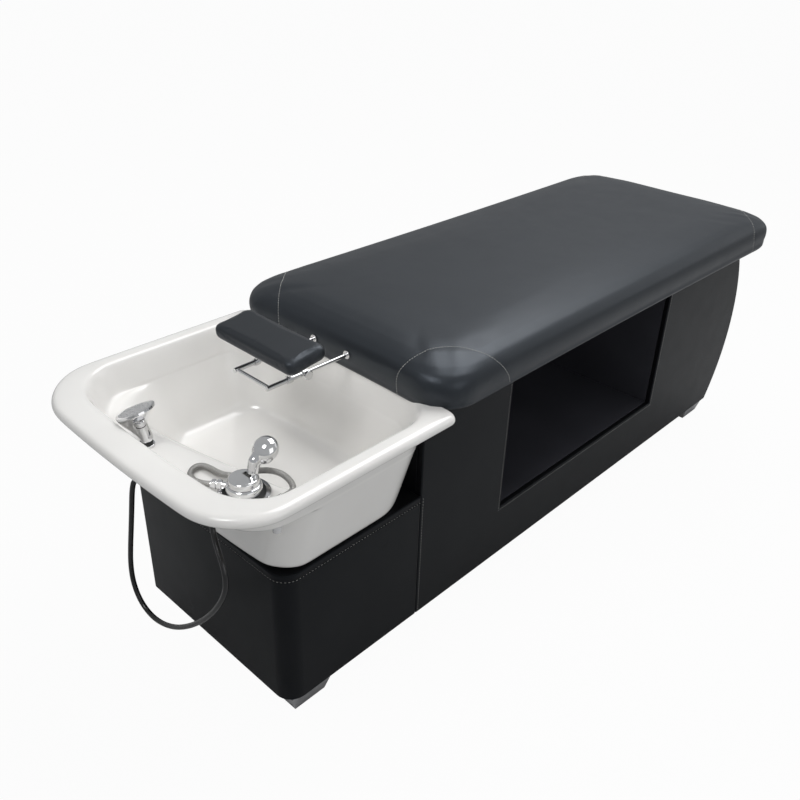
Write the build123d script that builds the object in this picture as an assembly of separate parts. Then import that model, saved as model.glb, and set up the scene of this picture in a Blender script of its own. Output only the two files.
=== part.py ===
from build123d import *
import os
from math import atan, cos, degrees, pi, radians, sin, sqrt, tan

# Hair washing bed, in millimetres. X runs from the basin to the foot end, Y across the bed, Z up.
# The origin is on the floor, under the middle of the whole bed. The basin end stays where it is when the
# length changes.

# Whole bed
overall_length = 2000.0
overall_width = 656.0
basin_end_x = -1000.0
foot_height = 50.0
base_width = 488.0
base_top_z = 600.0
head_face_x = -833.0
step_x = -466.0
shelf_top_z = 378.0

# Upholstered base
panel_wall = 15.0
head_corner_radius = 40.0
head_far_corner_radius = 10.0
foot_bulge_radius = 509.0
foot_bulge_z = 310.0
foot_panel_wall = 12.0
floor_end_gap = 3.0

# Storage niche on the near side
niche_head_x = -176.0
niche_foot_x = 524.0
niche_floor_z = 196.0
niche_top_z = 545.0
niche_back_gap = 88.0
niche_board = 12.0

# Timber frame
rail_width = 30.0
rail_height = 40.0
cross_rail_width = 45.0
cross_rail_x_shares = (0.03, 0.36, 0.66, 0.95)

# Feet
foot_top_length = 112.0
foot_top_width = 84.0
foot_bottom_length = 80.0
foot_bottom_width = 62.0
foot_pad_height = 3.0
foot_pad_inset = 5.0
foot_head_x = -764.0
foot_end_inset = 118.0
foot_side_inset = 50.0
foot_bolt_radius = 5.0
foot_bolt_head_radius = 9.0
foot_bolt_head_height = 6.0
foot_bolt_depth = 24.0

# Mattress
mattress_side_gap = 3.0
mattress_front_x = -500.0
mattress_foot_gap = 58.0
mattress_thickness = 100.0
mattress_front_radius = 85.0
mattress_foot_radius = 75.0
mattress_side_draw = 4.0
mattress_end_draw = 8.0
mattress_edge_inset = 34.0
mattress_board_thickness = 15.0
mattress_board_inset = 58.0
soft_gap = 0.4

# Basin
basin_rim_top_z = 616.0
basin_rim_height = 24.0
basin_rim_front_radius = 118.0
basin_far_corner_share = 1.2
basin_rim_back_radius = 14.0
basin_rim_bow = 13.0
basin_rim_top_round = 11.0
basin_rim_bottom_round = 8.0
basin_back_gap = 1.0
basin_rim_front_width = 64.0
basin_mouth_back_x = -480.0
basin_rim_side_width = 40.0
basin_mouth_round = 7.0
basin_deck_z = 556.0
basin_deck_front_x = -918.0
basin_deck_edge_far_x = -862.0
basin_deck_edge_near_x = -800.0
basin_floor_z = 425.0
basin_floor_front_x = -792.0
basin_floor_back_x = -527.0
basin_wall_lean = 62.0
basin_floor_round = 30.0
basin_inner_radius = 92.0
basin_floor_corner_radius = 72.0
basin_floor_wall = 15.0
basin_deck_wall = 16.0
basin_bottom_z = 384.0
basin_bowl_front_x = -842.0
basin_bowl_bottom_back_x = -500.0
basin_bowl_lean = 36.0
basin_bowl_radius = 88.0
basin_bowl_round = 24.0
basin_tray_front_x = -934.0
basin_tray_lean = 2.0
basin_wall_back_gap = 8.0
basin_foot_wall = 34.0
basin_seat_width = 30.0

# Drain and trap
drain_front_inset = 57.0
drain_side_inset = 121.0
drain_hole_radius = 26.0
drain_flange_radius = 35.0
drain_flange_thickness = 3.0
drain_sleeve_radius = 25.0
drain_bore_radius = 22.0
drain_gasket_radius = 36.0
drain_gasket_height = 4.0
drain_nut_radius = 34.0
drain_nut_height = 10.0
drain_sleeve_tail = 6.0
strainer_slots = 8
strainer_slot_width = 3.0
strainer_slot_length = 11.0
strainer_depth = 14.0
strainer_wall = 2.0
strainer_lip = 3.0
strainer_gap = 0.5
strainer_knob_radius = 4.0
tailpiece_radius = 20.0
tailpiece_wall = 2.0
tailpiece_collar_height = 12.0
trap_body_radius = 32.0
trap_body_top_z = 310.0
trap_body_bottom_z = 215.0
trap_wall = 3.0
trap_cup_radius = 35.0
trap_cup_depth = 26.0
waste_pipe_radius = 21.0
waste_pipe_wall = 3.0
waste_spigot_radius = 20.0
waste_spigot_length = 25.0
waste_pipe_z = 284.0
waste_pipe_step_gap = 94.0
waste_pipe_bend_radius = 45.0
waste_pipe_end_z = 22.0
waste_pipe_floor_gap = 2.0
shelf_drain_hole_radius = 46.0

# Headrest
headrest_rod_spacing = 100.0
headrest_rod_z = 644.0
headrest_rod_radius = 4.0
headrest_rod_front_x = -632.0
headrest_rod_grip = 40.0
headrest_flange_radius = 9.0
headrest_flange_thickness = 3.0
anchor_block_x = -440.0
anchor_block_length = 50.0
anchor_block_width = 150.0
anchor_block_height = 53.0
slide_tube_radius = 5.0
slide_running_gap = 0.05
slide_tube_back_x = -599.0
slide_tube_front_x = -697.0
slide_bore_end_x = -685.0
slide_bar_radius = 4.0
slide_bar_x = -691.0
slide_collar_radius = 7.5
slide_collar_length = 12.0
knob_radius = 10.0
knob_length = 6.0
knob_stem_radius = 2.5
knob_reach = 9.0
knob_round = 2.0
knob_tip_gap = 0.2
post_x = -644.0
post_radius = 3.5
post_clamp_radius = 7.5
post_clamp_length = 12.0
pad_length = 216.0
pad_depth = 92.0
pad_thickness = 30.0
pad_corner_radius = 16.0
pad_draw = 1.5
pad_x = -648.0
pad_z = 709.5
pad_tilt = 7.0
pad_plate_thickness = 3.0
pad_plate_length = 150.0
pad_plate_depth = 46.0

# Mixer tap on the deck
mixer_x = -856.0
mixer_side_inset = 146.0
escutcheon_radius = 46.0
escutcheon_height = 4.0
mixer_gasket_radius = 37.5
mixer_gasket_height = 2.5
mixer_body_radius = 32.0
mixer_body_height = 16.0
mixer_body_round = 8.0
mixer_shank_radius = 12.0
mixer_shank_bottom_z = 504.0
inlet_radius = 10.5
inlet_length = 22.0
cartridge_radius = 16.0
cartridge_depth = 13.0
cartridge_stem_radius = 4.0
cartridge_stem_height = 3.0
hub_radius = 27.0
hub_height = 12.0
hub_gap = 0.4
hub_round = 5.0
hub_slot_width = 20.0
lever_pin_rise = 8.0
lever_pin_offset = 18.0
lever_pin_radius = 2.5
lever_pin_gap = 0.06
lever_boss_radius = 7.0
lever_slot_back = 13.0
lever_neck_radius = 9.0
lever_neck_height = 20.0
lever_neck_top_radius = 10.0
lever_paddle_radius = 26.0
lever_paddle_half_thickness = 15.0
lever_paddle_out = 31.0
lever_paddle_up = 37.0
lever_paddle_tilt = 42.0
backnut_radius = 18.0
backnut_height = 8.0
elbow_radius = 8.0
elbow_z = 514.0
elbow_bend_radius = 10.0
port_radius = 6.5
hose_nut_radius = 9.5
hose_nut_length = 8.0
hose_nut_gap = 2.0

# Supply hose on the deck, from the mixer's side port round to the deck ferrule
supply_hose_radius = 5.5
supply_route_mixer_y = -182.0
supply_route = [
    (-892.0, -136.6, 570.0), (-898.48, -128.428, 570.0), (-903.0, -116.0, 568.4), (-903.0, -99.0, 566.0),
    (-898.0, -83.0, 563.8), (-888.0, -71.5, 563.2), (-874.0, -66.5, 563.0), (-863.0, -74.0, 563.0),
    (-859.0, -90.0, 563.0), (-858.0, -108.0, 563.2), (-854.0, -126.0, 564.6), (-844.0, -142.0, 567.4),
    (-828.0, -154.0, 571.4), (-812.0, -170.0, 576.8), (-803.0, -189.0, 581.6), (-799.0, -209.0, 585.0),
    (-799.0, -227.0, 585.4), (-801.0, -243.0, 582.6), (-807.0, -254.0, 579.0), (-817.0, -256.5, 575.5),
    (-829.0, -252.0, 572.0),
]
ferrule_x = -841.0
ferrule_side_inset = 80.5
ferrule_tail_radius = 8.3
ferrule_tail_length = 22.0
ferrule_flange_radius = 12.0
ferrule_flange_height = 5.0
ferrule_elbow_radius = 7.0

# Handset, its holder on the deck and its hose under the basin
holder_x = -895.0
holder_y = 60.0
holder_flange_radius = 15.0
holder_flange_height = 6.0
holder_shank_radius = 13.0
holder_bore_radius = 10.3
handset_tail_radius = 10.0
handset_tail_bottom_z = 526.0
handset_disc = (-900.0, 74.0, 625.0)
handset_disc_normal = (-0.12, 0.36, 0.92)
handset_disc_radius = 37.0
handset_disc_thickness = 4.0
handset_bell = [
    (-895.0, 61.0, 566.0, 10.0), (-899.0, 72.0, 591.0, 17.0), (-902.0, 78.0, 606.0, 25.0),
    (-901.0, 76.0, 617.0, 32.5), (-900.0, 74.0, 625.0, 37.0),
]
handset_lean_shares = (0.0, 0.6, 0.9, 1.0, 1.0)
spray_face_radius = 32.0
spray_face_thickness = 2.0
spray_nozzle_radius = 1.2
spray_nozzle_height = 1.0
spray_ring_count = 4
spray_ring_step = 8.7
handset_neck_radius = 9.0
handset_neck_top = (-907.0, 54.0, 621.0)
collar_radius = 10.5
collar_length = 10.0
collar_ring_length = 2.0
neck_ring_height = 3.0
neck_ring_radius = 12.0
handset_nut_radius = 9.5
handset_hose_radius = 5.25
handset_route = [
    (-895.0, 60.0, 512.0), (-895.0, 60.0, 486.0), (-916.0, 90.0, 474.0), (-918.5, 98.0, 450.0),
    (-919.0, 104.0, 428.0), (-920.0, 114.0, 385.0), (-921.0, 125.0, 340.0), (-922.0, 139.0, 286.0),
    (-923.0, 151.0, 232.0), (-924.0, 152.0, 180.0), (-924.0, 134.0, 139.0), (-924.0, 96.0, 123.0),
    (-924.0, 50.0, 131.0), (-924.0, -2.0, 158.0), (-924.0, -52.0, 197.0), (-923.0, -100.0, 243.0),
    (-922.0, -144.0, 295.0), (-920.0, -177.0, 346.0), (-917.0, -193.0, 388.0), (-912.0, -183.0, 422.0),
    (-905.0, -160.0, 441.0), (-897.0, -138.0, 457.0), (-892.0, -127.0, 477.0), (-892.0, -127.0, 498.0),
]

# One overrun for every cut, and the share of the shorter run that a hose's bend may use
overrun = 2.0
bend_share = 0.45
bow_share = 0.35
draw_share = 0.3
corner_limit_share = 0.65
mattress_growth_shares = (0.8, 2.4)
pad_growth_shares = (0.4, 0.4)

# Cross-sections of a cushion: share of the height, share of the edge inset
cushion_section_shares = ((0.0, 0.82), (0.12, 0.38), (0.28, 0.1), (0.46, 0.0), (0.64, 0.1), (0.8, 0.42), (0.9, 0.95),
                          (0.96, 1.9), (1.0, 4.2))
pad_section_shares = ((0.0, 0.9), (0.15, 0.3), (0.35, 0.02), (0.5, 0.0), (0.7, 0.15), (0.87, 0.75), (1.0, 2.4))

# Values that follow from the ones above
foot_end_x = basin_end_x + overall_length
mattress_foot_x = foot_end_x - mattress_foot_gap
half_base = base_width / 2
inner_half_base = half_base - panel_wall
foot_y = half_base - foot_side_inset
foot_bulge_x = foot_end_x - foot_bulge_radius
rim_back_x = step_x - basin_back_gap
rim_half_width = overall_width / 2
mouth_front_x = basin_end_x + basin_rim_front_width
mouth_half_width = rim_half_width - basin_rim_side_width
floor_half_width = mouth_half_width - basin_wall_lean
bowl_bottom_half_width = mouth_half_width - basin_bowl_lean
drain_x = basin_floor_front_x + drain_front_inset
drain_y = drain_side_inset - floor_half_width
mixer_y = mixer_side_inset - rim_half_width
ferrule_y = ferrule_side_inset - rim_half_width
supply_shift = mixer_y - supply_route_mixer_y
supply_points = [(x, y + supply_shift, z) for x, y, z in supply_route]
waste_pipe_down_x = step_x - waste_pipe_step_gap
rim_bottom_z = basin_rim_top_z - basin_rim_height
floor_top_z = foot_height + panel_wall
half_mattress = rim_half_width - mattress_side_gap
rod_y = headrest_rod_spacing / 2
deck_underside_z = basin_deck_z - basin_deck_wall
z_up = (Align.CENTER, Align.CENTER, Align.MIN)

os.makedirs("parts", exist_ok=True)


def save(node, *solids):
    """Write one sub-part, made of one or more separate solids, to its own STEP file."""
    shapes = []
    for solid in solids:
        shapes.extend(solid.solids())
    export_step(Compound(children=shapes) if len(shapes) > 1 else shapes[0], f"parts/{node}.step")


def block(x_range, y_range, z_range):
    """A block between its low and high faces."""
    size = [high - low for low, high in (x_range, y_range, z_range)]
    middle = [(high + low) / 2 for low, high in (x_range, y_range, z_range)]
    return Pos(*middle) * Box(*size)


def rod(start, end, radius, end_radius=None):
    """A round bar, or a taper, from one point to another."""
    axis = Vector(*end) - Vector(*start)
    place = Plane(origin=start, z_dir=axis)
    if end_radius is None:
        return place * Cylinder(radius, axis.length, align=z_up)
    return place * Cone(radius, end_radius, axis.length, align=z_up)


def ring(centre, radius, bore, height):
    """An upright ring that stands on a centre point."""
    solid = Cylinder(radius, height, align=z_up)
    solid -= Pos(0, 0, -overrun) * Cylinder(bore, height + overrun + overrun, align=z_up)
    return Pos(*centre) * solid


def hexagon(start, end, radius, bore):
    """A hexagon nut between two points, across-corners radius, with a bore."""
    axis = Vector(*end) - Vector(*start)
    nut = extrude(RegularPolygon(radius, 6), amount=axis.length)
    nut -= Pos(0, 0, -overrun) * Cylinder(bore, axis.length + overrun + overrun, align=z_up)
    return Plane(origin=start, z_dir=axis) * nut


def upright_slab(face, y_low, y_high):
    """A plate drawn in the XZ plane and given its thickness along Y."""
    return Plane.XZ.offset(-y_high) * extrude(face, amount=y_high - y_low)


def foot_x(z, inset=0.0):
    """Where the curved foot end lies at a height, for the skin or for a surface inside it."""
    radius = foot_bulge_radius - inset
    return foot_bulge_x + sqrt(radius ** 2 - (z - foot_bulge_z) ** 2)


def side_outline(front_x, z_low, z_high, inset=0.0):
    """Side view of the bed section: square at the step, a bulging arc at the foot end."""
    low_end = (foot_x(z_low, inset), z_low)
    high_end = (foot_x(z_high, inset), z_high)
    bulge = (foot_x(foot_bulge_z, inset), foot_bulge_z)
    return Face(Wire([
        Line((front_x, z_low), low_end), ThreePointArc(low_end, bulge, high_end),
        Line(high_end, (front_x, z_high)), Line((front_x, z_high), (front_x, z_low)),
    ]))


def head_plan(inset, z):
    """Plan of the head section, round at its near corner and only eased at its far one."""
    half = half_base - inset
    front = head_face_x + inset
    near_radius = head_corner_radius - inset
    far_radius = max(0, head_far_corner_radius - inset)
    corners = [(step_x, half, z), (front, half, z), (front, -half, z), (step_x, -half, z)]
    return Face(FilletPolyline(*corners, radius=[0, far_radius, near_radius, 0], close=True))


def basin_plan(front, back, half_width, front_radius, back_radius, z):
    """Plan of the basin at a height, its front edge bowed outwards to the given place."""
    bow_radius = bow_share * half_width ** 2 / basin_rim_bow
    peak = front - bow_radius * (1 / cos(atan(basin_rim_bow / half_width)) - 1)
    shoulder = peak + basin_rim_bow
    corners = [(shoulder, half_width, z), (peak, 0, z), (shoulder, -half_width, z),
               (back, -half_width, z), (back, half_width, z)]
    radii = [front_radius * basin_far_corner_share, bow_radius, front_radius, back_radius, back_radius]
    return Face(FilletPolyline(*corners, radius=radii, close=True))


def bowl_plan(front_far, front_near, back, half_width, radius, z):
    """Plan of the deep bowl at a height, its front running slantwise."""
    corners = [(front_far, half_width, z), (front_near, -half_width, z), (back, -half_width, z),
               (back, half_width, z)]
    return Face(FilletPolyline(*corners, radius=radius, close=True))


def cushion_plan(front, back, half_width, front_radius, back_radius, side_draw, end_draw, z):
    """Plan of a cushion at a height, each side drawn in a little between its corners."""
    middle = (front + back) / 2
    corners = [(front, half_width, z), (front + end_draw, 0, z), (front, -half_width, z),
               (middle, side_draw - half_width, z), (back, -half_width, z), (back - end_draw, 0, z),
               (back, half_width, z), (middle, half_width - side_draw, z)]
    end_radius = draw_share * half_width ** 2 / end_draw
    side_radius = draw_share * (middle - front) ** 2 / side_draw
    radii = [front_radius, end_radius, front_radius, side_radius, back_radius, end_radius, back_radius, side_radius]
    return Face(FilletPolyline(*corners, radius=radii, close=True))


def cushion(front, back, half_width, z_low, height, edge_inset, radii, growth_shares, draws, sections):
    """A crowned cushion, built up from plans that pull in towards its top and bottom; corners grow to the top."""
    plans = []
    for height_share, inset_share in sections:
        inset = inset_share * edge_inset
        widest = corner_limit_share * (half_width - inset)
        growth = max(0, height_share + height_share - 1) * inset
        corners = [min(radius + share * growth, widest) for radius, share in zip(radii, growth_shares)]
        plans.append(cushion_plan(front + inset, back - inset, half_width - inset, corners[0], corners[1],
                                  draws[0], draws[1], z_low + height_share * height))
    return loft(plans, ruled=True)


def hose(route, radius):
    """A round hose along straight runs joined by tangent arcs, as large as the runs allow."""
    points = [Vector(*point) for point in route]
    runs = [end - start for start, end in zip(points, points[1:])]
    radii = []
    for before, after in zip(runs, runs[1:]):
        turn = radians(before.get_angle(after))
        radii.append(bend_share * min(before.length, after.length) / tan(turn / 2))
    path = FilletPolyline(*points, radius=radii)
    tube = sweep(Plane(origin=points[0], z_dir=runs[0]) * Circle(radius), path=path)
    shown = ", ".join(f"{bend:.0f}" for bend in radii)
    print(f"hose of {path.length:.0f} mm, radii {shown}")
    print(f"volume {tube.volume:.0f}, section times length {pi * radius ** 2 * path.length:.0f}")
    return tube


# Upholstered base: the low head section
shell = extrude(head_plan(0, foot_height), amount=shelf_top_z - panel_wall - foot_height)
shell -= extrude(head_plan(panel_wall, foot_height - overrun), amount=shelf_top_z)
shell -= block((step_x - panel_wall - overrun, step_x + overrun), (-inner_half_base, inner_half_base),
               (0, base_top_z))
save("head_shell", shell)

shelf = extrude(head_plan(0, shelf_top_z - panel_wall), amount=panel_wall)
shelf -= Pos(drain_x, drain_y, 0) * Cylinder(shelf_drain_hole_radius, base_top_z, align=z_up)
save("head_shelf", shelf)

# Upholstered base: the bed section, with the niche cut out of the near side
side = side_outline(step_x, foot_height, base_top_z)
far_panel = upright_slab(side, inner_half_base, half_base)
near_panel = upright_slab(side, -half_base, -inner_half_base)
near_panel -= block((niche_head_x, niche_foot_x), (-base_width, 0), (niche_floor_z, niche_top_z))
save("far_side_panel", far_panel)
save("near_side_panel", near_panel)

save("bulkhead_panel", block((step_x, step_x + panel_wall), (-inner_half_base, inner_half_base),
                             (floor_top_z, base_top_z)))

bulge_skin = upright_slab(side, -inner_half_base, inner_half_base)
bulge_core = upright_slab(side_outline(step_x, foot_height - overrun, base_top_z + overrun, foot_panel_wall),
                          -half_base, half_base)
save("foot_panel", bulge_skin - bulge_core)

floor_end_x = foot_x(foot_height, foot_panel_wall) - floor_end_gap
head_floor = extrude(head_plan(panel_wall, foot_height), amount=panel_wall)
bed_floor = block((step_x, floor_end_x), (-inner_half_base, inner_half_base), (foot_height, floor_top_z))
base_floor = head_floor + bed_floor
base_floor -= Pos(waste_pipe_down_x, drain_y, 0) * Cylinder(waste_pipe_radius + waste_pipe_floor_gap,
                                                          base_top_z, align=z_up)

# Niche linings: two full-depth partitions, a floor, a ceiling and a back between them
partitions = (("niche_head_partition", niche_head_x - niche_board), ("niche_foot_partition", niche_foot_x))
for name, partition_x in partitions:
    save(name, block((partition_x, partition_x + niche_board), (-inner_half_base, inner_half_base),
                     (floor_top_z, base_top_z - rail_height)))
niche_span = (niche_head_x, niche_foot_x)
niche_back_y = half_base - niche_back_gap
save("niche_floor", block(niche_span, (-inner_half_base, niche_back_y), (niche_floor_z - niche_board, niche_floor_z)))
save("niche_ceiling", block(niche_span, (-inner_half_base, niche_back_y), (niche_top_z, niche_top_z + niche_board)))
save("niche_back", block(niche_span, (niche_back_y, niche_back_y + niche_board),
                         (floor_top_z, base_top_z - rail_height)))

# Timber frame under the mattress board
frame_front_x = step_x + panel_wall
frame_back_x = foot_x(base_top_z, foot_panel_wall) - floor_end_gap
rail_z = (base_top_z - rail_height, base_top_z)
rail_solids = []
for rail_side in (-1, 1):
    outer_y = rail_side * inner_half_base
    inner_y = outer_y - rail_side * rail_width
    rail_solids.append(block((frame_front_x, frame_back_x), sorted((outer_y, inner_y)), rail_z))
save("top_rails", *rail_solids)

cross_solids = []
for share in cross_rail_x_shares:
    cross_x = frame_front_x + share * (frame_back_x - frame_front_x - cross_rail_width)
    cross_solids.append(block((cross_x, cross_x + cross_rail_width),
                              (rail_width - inner_half_base, inner_half_base - rail_width), rail_z))
save("cross_rails", *cross_solids)

# Four tapered feet on rubber pads, each held by one bolt through the base floor
foot_body = loft([
    Pos(0, 0, foot_pad_height) * Rectangle(foot_bottom_length, foot_bottom_width),
    Pos(0, 0, foot_height) * Rectangle(foot_top_length, foot_top_width),
])
foot_body -= Pos(0, 0, foot_height - foot_bolt_depth) * Cylinder(foot_bolt_radius, foot_height, align=z_up)
pad_body = extrude(Rectangle(foot_bottom_length - foot_pad_inset, foot_bottom_width - foot_pad_inset),
                   amount=foot_pad_height)
bolt_body = Pos(0, 0, foot_height - foot_bolt_depth) * Cylinder(foot_bolt_radius, foot_bolt_depth + panel_wall,
                                                                align=z_up)
bolt_body += Pos(0, 0, floor_top_z) * extrude(RegularPolygon(foot_bolt_head_radius, 6), amount=foot_bolt_head_height)
foot_pads = []
foot_bolts = []
for end_name, x in (("head", foot_head_x), ("end", foot_end_x - foot_end_inset)):
    for side_name, y in (("near", -foot_y), ("far", foot_y)):
        place = Pos(x, y, 0)
        save(f"{side_name}_{end_name}_foot", place * foot_body)
        foot_pads.append(place * pad_body)
        foot_bolts.append(place * bolt_body)
        base_floor -= place * Cylinder(foot_bolt_radius, base_top_z, align=z_up)
save("foot_pads", *foot_pads)
save("foot_bolts", *foot_bolts)
save("base_floor", base_floor)

# Mattress: a plywood board in a crowned cushion that overhangs the base
board_front_x = mattress_front_x + mattress_board_inset
board_back_x = mattress_foot_x - mattress_board_inset
board_half = half_mattress - mattress_board_inset
board_top_z = base_top_z + mattress_board_thickness
save("mattress_board", block((board_front_x, board_back_x), (-board_half, board_half), (base_top_z, board_top_z)))

anchor_x = (anchor_block_x, anchor_block_x + anchor_block_length)
anchor_half = anchor_block_width / 2
anchor_top_z = board_top_z + anchor_block_height
anchor = block(anchor_x, (-anchor_half, anchor_half), (board_top_z, anchor_top_z))

mattress = cushion(mattress_front_x, mattress_foot_x, half_mattress, base_top_z + soft_gap,
                   mattress_thickness - soft_gap, mattress_edge_inset, (mattress_front_radius, mattress_foot_radius),
                   mattress_growth_shares, (mattress_side_draw, mattress_end_draw), cushion_section_shares)
mattress -= block((board_front_x - soft_gap, board_back_x + soft_gap),
                  (-board_half - soft_gap, board_half + soft_gap), (foot_height, board_top_z + soft_gap))
mattress -= block((basin_end_x, rim_back_x + soft_gap), (-base_width, base_width),
                  (foot_height, basin_rim_top_z + soft_gap))
mattress -= block((anchor_x[0] - soft_gap, anchor_x[1] + soft_gap), (-anchor_half - soft_gap, anchor_half + soft_gap),
                  (foot_height, anchor_top_z + soft_gap))

# Headrest rods, fixed in the anchor block behind round flanges
rod_solids = []
flange_solids = []
flange_back_x = mattress_front_x + mattress_end_draw
rod_back_x = anchor_block_x + headrest_rod_grip
for y in (-rod_y, rod_y):
    rod_solids.append(rod((headrest_rod_front_x, y, headrest_rod_z), (rod_back_x, y, headrest_rod_z),
                          headrest_rod_radius))
    anchor -= rod((anchor_block_x - overrun, y, headrest_rod_z), (rod_back_x, y, headrest_rod_z),
                  headrest_rod_radius)
    mattress -= rod((rim_back_x - base_width, y, headrest_rod_z), (anchor_block_x, y, headrest_rod_z),
                    headrest_rod_radius + soft_gap)
    flange = rod((flange_back_x - headrest_flange_thickness, y, headrest_rod_z), (flange_back_x, y, headrest_rod_z),
                 headrest_flange_radius)
    flange -= rod_solids[-1]
    flange_solids.append(flange)
    mattress -= rod((basin_end_x, y, headrest_rod_z), (flange_back_x + soft_gap, y, headrest_rod_z),
                    headrest_flange_radius + soft_gap)
save("headrest_rods", *rod_solids)
save("rod_flanges", *flange_solids)
save("anchor_block", anchor)
save("mattress", mattress)

# Sliding frame: two closed tubes that run on the rods, joined by a bar, with a knob boss on each
slide_bore_radius = headrest_rod_radius + slide_running_gap
slide_frame = rod((slide_bar_x, -rod_y, headrest_rod_z), (slide_bar_x, rod_y, headrest_rod_z), slide_bar_radius)
knob_x = slide_tube_back_x - slide_collar_length / 2
for side_name, side_sign in (("near", -1), ("far", 1)):
    y = side_sign * rod_y
    slide_frame += rod((slide_tube_front_x, y, headrest_rod_z), (slide_tube_back_x, y, headrest_rod_z),
                       slide_tube_radius)
    slide_frame += rod((slide_tube_back_x - slide_collar_length, y, headrest_rod_z),
                       (slide_tube_back_x, y, headrest_rod_z), slide_collar_radius)
    slide_frame -= rod((slide_bore_end_x, y, headrest_rod_z), (slide_tube_back_x + overrun, y, headrest_rod_z),
                       slide_bore_radius)
    knob_axis = Vector(0, side_sign, 0)
    boss = Vector(knob_x, y, headrest_rod_z)
    tip = boss + knob_axis * (headrest_rod_radius + knob_tip_gap)
    seat = boss + knob_axis * knob_reach
    slide_frame -= rod(boss, seat, knob_stem_radius + slide_running_gap)
    knob = rod(seat, seat + knob_axis * knob_length, knob_radius)
    knob = fillet(knob.edges().filter_by(GeomType.CIRCLE), radius=knob_round)
    save(f"{side_name}_knob", knob + rod(tip, seat, knob_stem_radius))
save("slide_frame", slide_frame)

# Neck pad on a steel plate and two clamped posts
pad_place = Pos(pad_x, 0, pad_z) * Rot(0, -pad_tilt, 0)
plate_top = -pad_thickness / 2 - soft_gap
plate_low = plate_top - pad_plate_thickness
half_pad_depth = pad_depth / 2
half_pad_length = pad_length / 2
pad = cushion(-half_pad_depth, half_pad_depth, half_pad_length, -pad_thickness / 2, pad_thickness,
              pad_corner_radius / 2, (pad_corner_radius, pad_corner_radius), pad_growth_shares, (pad_draw, pad_draw),
              pad_section_shares)
save("headrest_pad", pad_place * pad)

plate = Pos(0, 0, plate_low) * Box(pad_plate_depth, pad_plate_length, pad_plate_thickness, align=z_up)
save("pad_plate", pad_place * plate)

above_plate = pad_place * Pos(0, 0, plate_low) * Box(base_width, base_width, pad_thickness + pad_depth, align=z_up)
post_solids = []
for y in (-rod_y, rod_y):
    half_clamp = post_clamp_length / 2
    post = rod((post_x - half_clamp, y, headrest_rod_z), (post_x + half_clamp, y, headrest_rod_z), post_clamp_radius)
    post += rod((post_x, y, headrest_rod_z), (post_x, y, pad_z), post_radius)
    post -= rod((post_x - post_clamp_length, y, headrest_rod_z), (post_x + post_clamp_length, y, headrest_rod_z),
                slide_tube_radius)
    post_solids.append(post - above_plate)
save("pad_posts", *post_solids)

# Basin: a thick rolled rim, a shallow tap deck at the front and a deep bowl
rim = extrude(basin_plan(basin_end_x, rim_back_x, rim_half_width, basin_rim_front_radius, basin_rim_back_radius,
                         rim_bottom_z), amount=basin_rim_height)
rim = fillet(rim.edges().group_by(Axis.Z)[-1], radius=basin_rim_top_round)
rim = fillet(rim.edges().group_by(Axis.Z)[0], radius=basin_rim_bottom_round)

rim_middle_z = (rim_bottom_z + basin_rim_top_z) / 2
wall_back_x = rim_back_x - basin_wall_back_gap
tray = loft([
    basin_plan(basin_tray_front_x, wall_back_x, mouth_half_width - basin_tray_lean, basin_inner_radius,
               basin_bowl_radius, deck_underside_z),
    basin_plan(mouth_front_x - basin_deck_wall, wall_back_x, mouth_half_width + basin_deck_wall,
               basin_rim_front_radius, basin_bowl_radius, rim_middle_z),
])
bowl = loft([
    basin_plan(basin_bowl_front_x, basin_bowl_bottom_back_x, bowl_bottom_half_width, basin_bowl_radius,
               basin_bowl_radius, basin_bottom_z),
    basin_plan(basin_bowl_front_x, wall_back_x, mouth_half_width, basin_bowl_radius, basin_bowl_radius,
               basin_deck_z),
])
bowl = fillet(bowl.edges().group_by(Axis.Z)[0], radius=basin_bowl_round)

# The hollow narrows evenly from the mouth to the floor
deck_share = (basin_rim_top_z - basin_deck_z) / (basin_rim_top_z - basin_floor_z)
deck_half_width = mouth_half_width + deck_share * (floor_half_width - mouth_half_width)
deck_back_x = basin_mouth_back_x + deck_share * (basin_floor_back_x - basin_mouth_back_x)
mouth = loft([
    basin_plan(basin_deck_front_x, deck_back_x, deck_half_width, basin_inner_radius, basin_inner_radius,
               basin_deck_z),
    basin_plan(mouth_front_x, basin_mouth_back_x, mouth_half_width, basin_inner_radius,
               basin_inner_radius, basin_rim_top_z),
])
hollow = loft([
    bowl_plan(basin_floor_front_x, basin_floor_front_x, basin_floor_back_x, floor_half_width,
              basin_floor_corner_radius, basin_floor_z),
    bowl_plan(basin_deck_edge_far_x, basin_deck_edge_near_x, deck_back_x, deck_half_width, basin_inner_radius,
              basin_deck_z),
])
hollow = fillet(hollow.edges().group_by(Axis.Z)[0], radius=basin_floor_round)

underside = extrude(basin_plan(basin_bowl_front_x + basin_foot_wall, basin_bowl_bottom_back_x - basin_foot_wall,
                               bowl_bottom_half_width - basin_foot_wall, basin_bowl_radius - basin_foot_wall,
                               basin_bowl_radius - basin_foot_wall, basin_bottom_z - overrun),
                    amount=basin_floor_z - basin_floor_wall - basin_bottom_z + overrun)
rim -= mouth
rim = fillet(rim.faces().sort_by(Axis.Z)[-1].inner_wires()[0].edges(), radius=basin_mouth_round)
basin = rim + (tray + bowl - mouth - hollow) - underside

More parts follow.
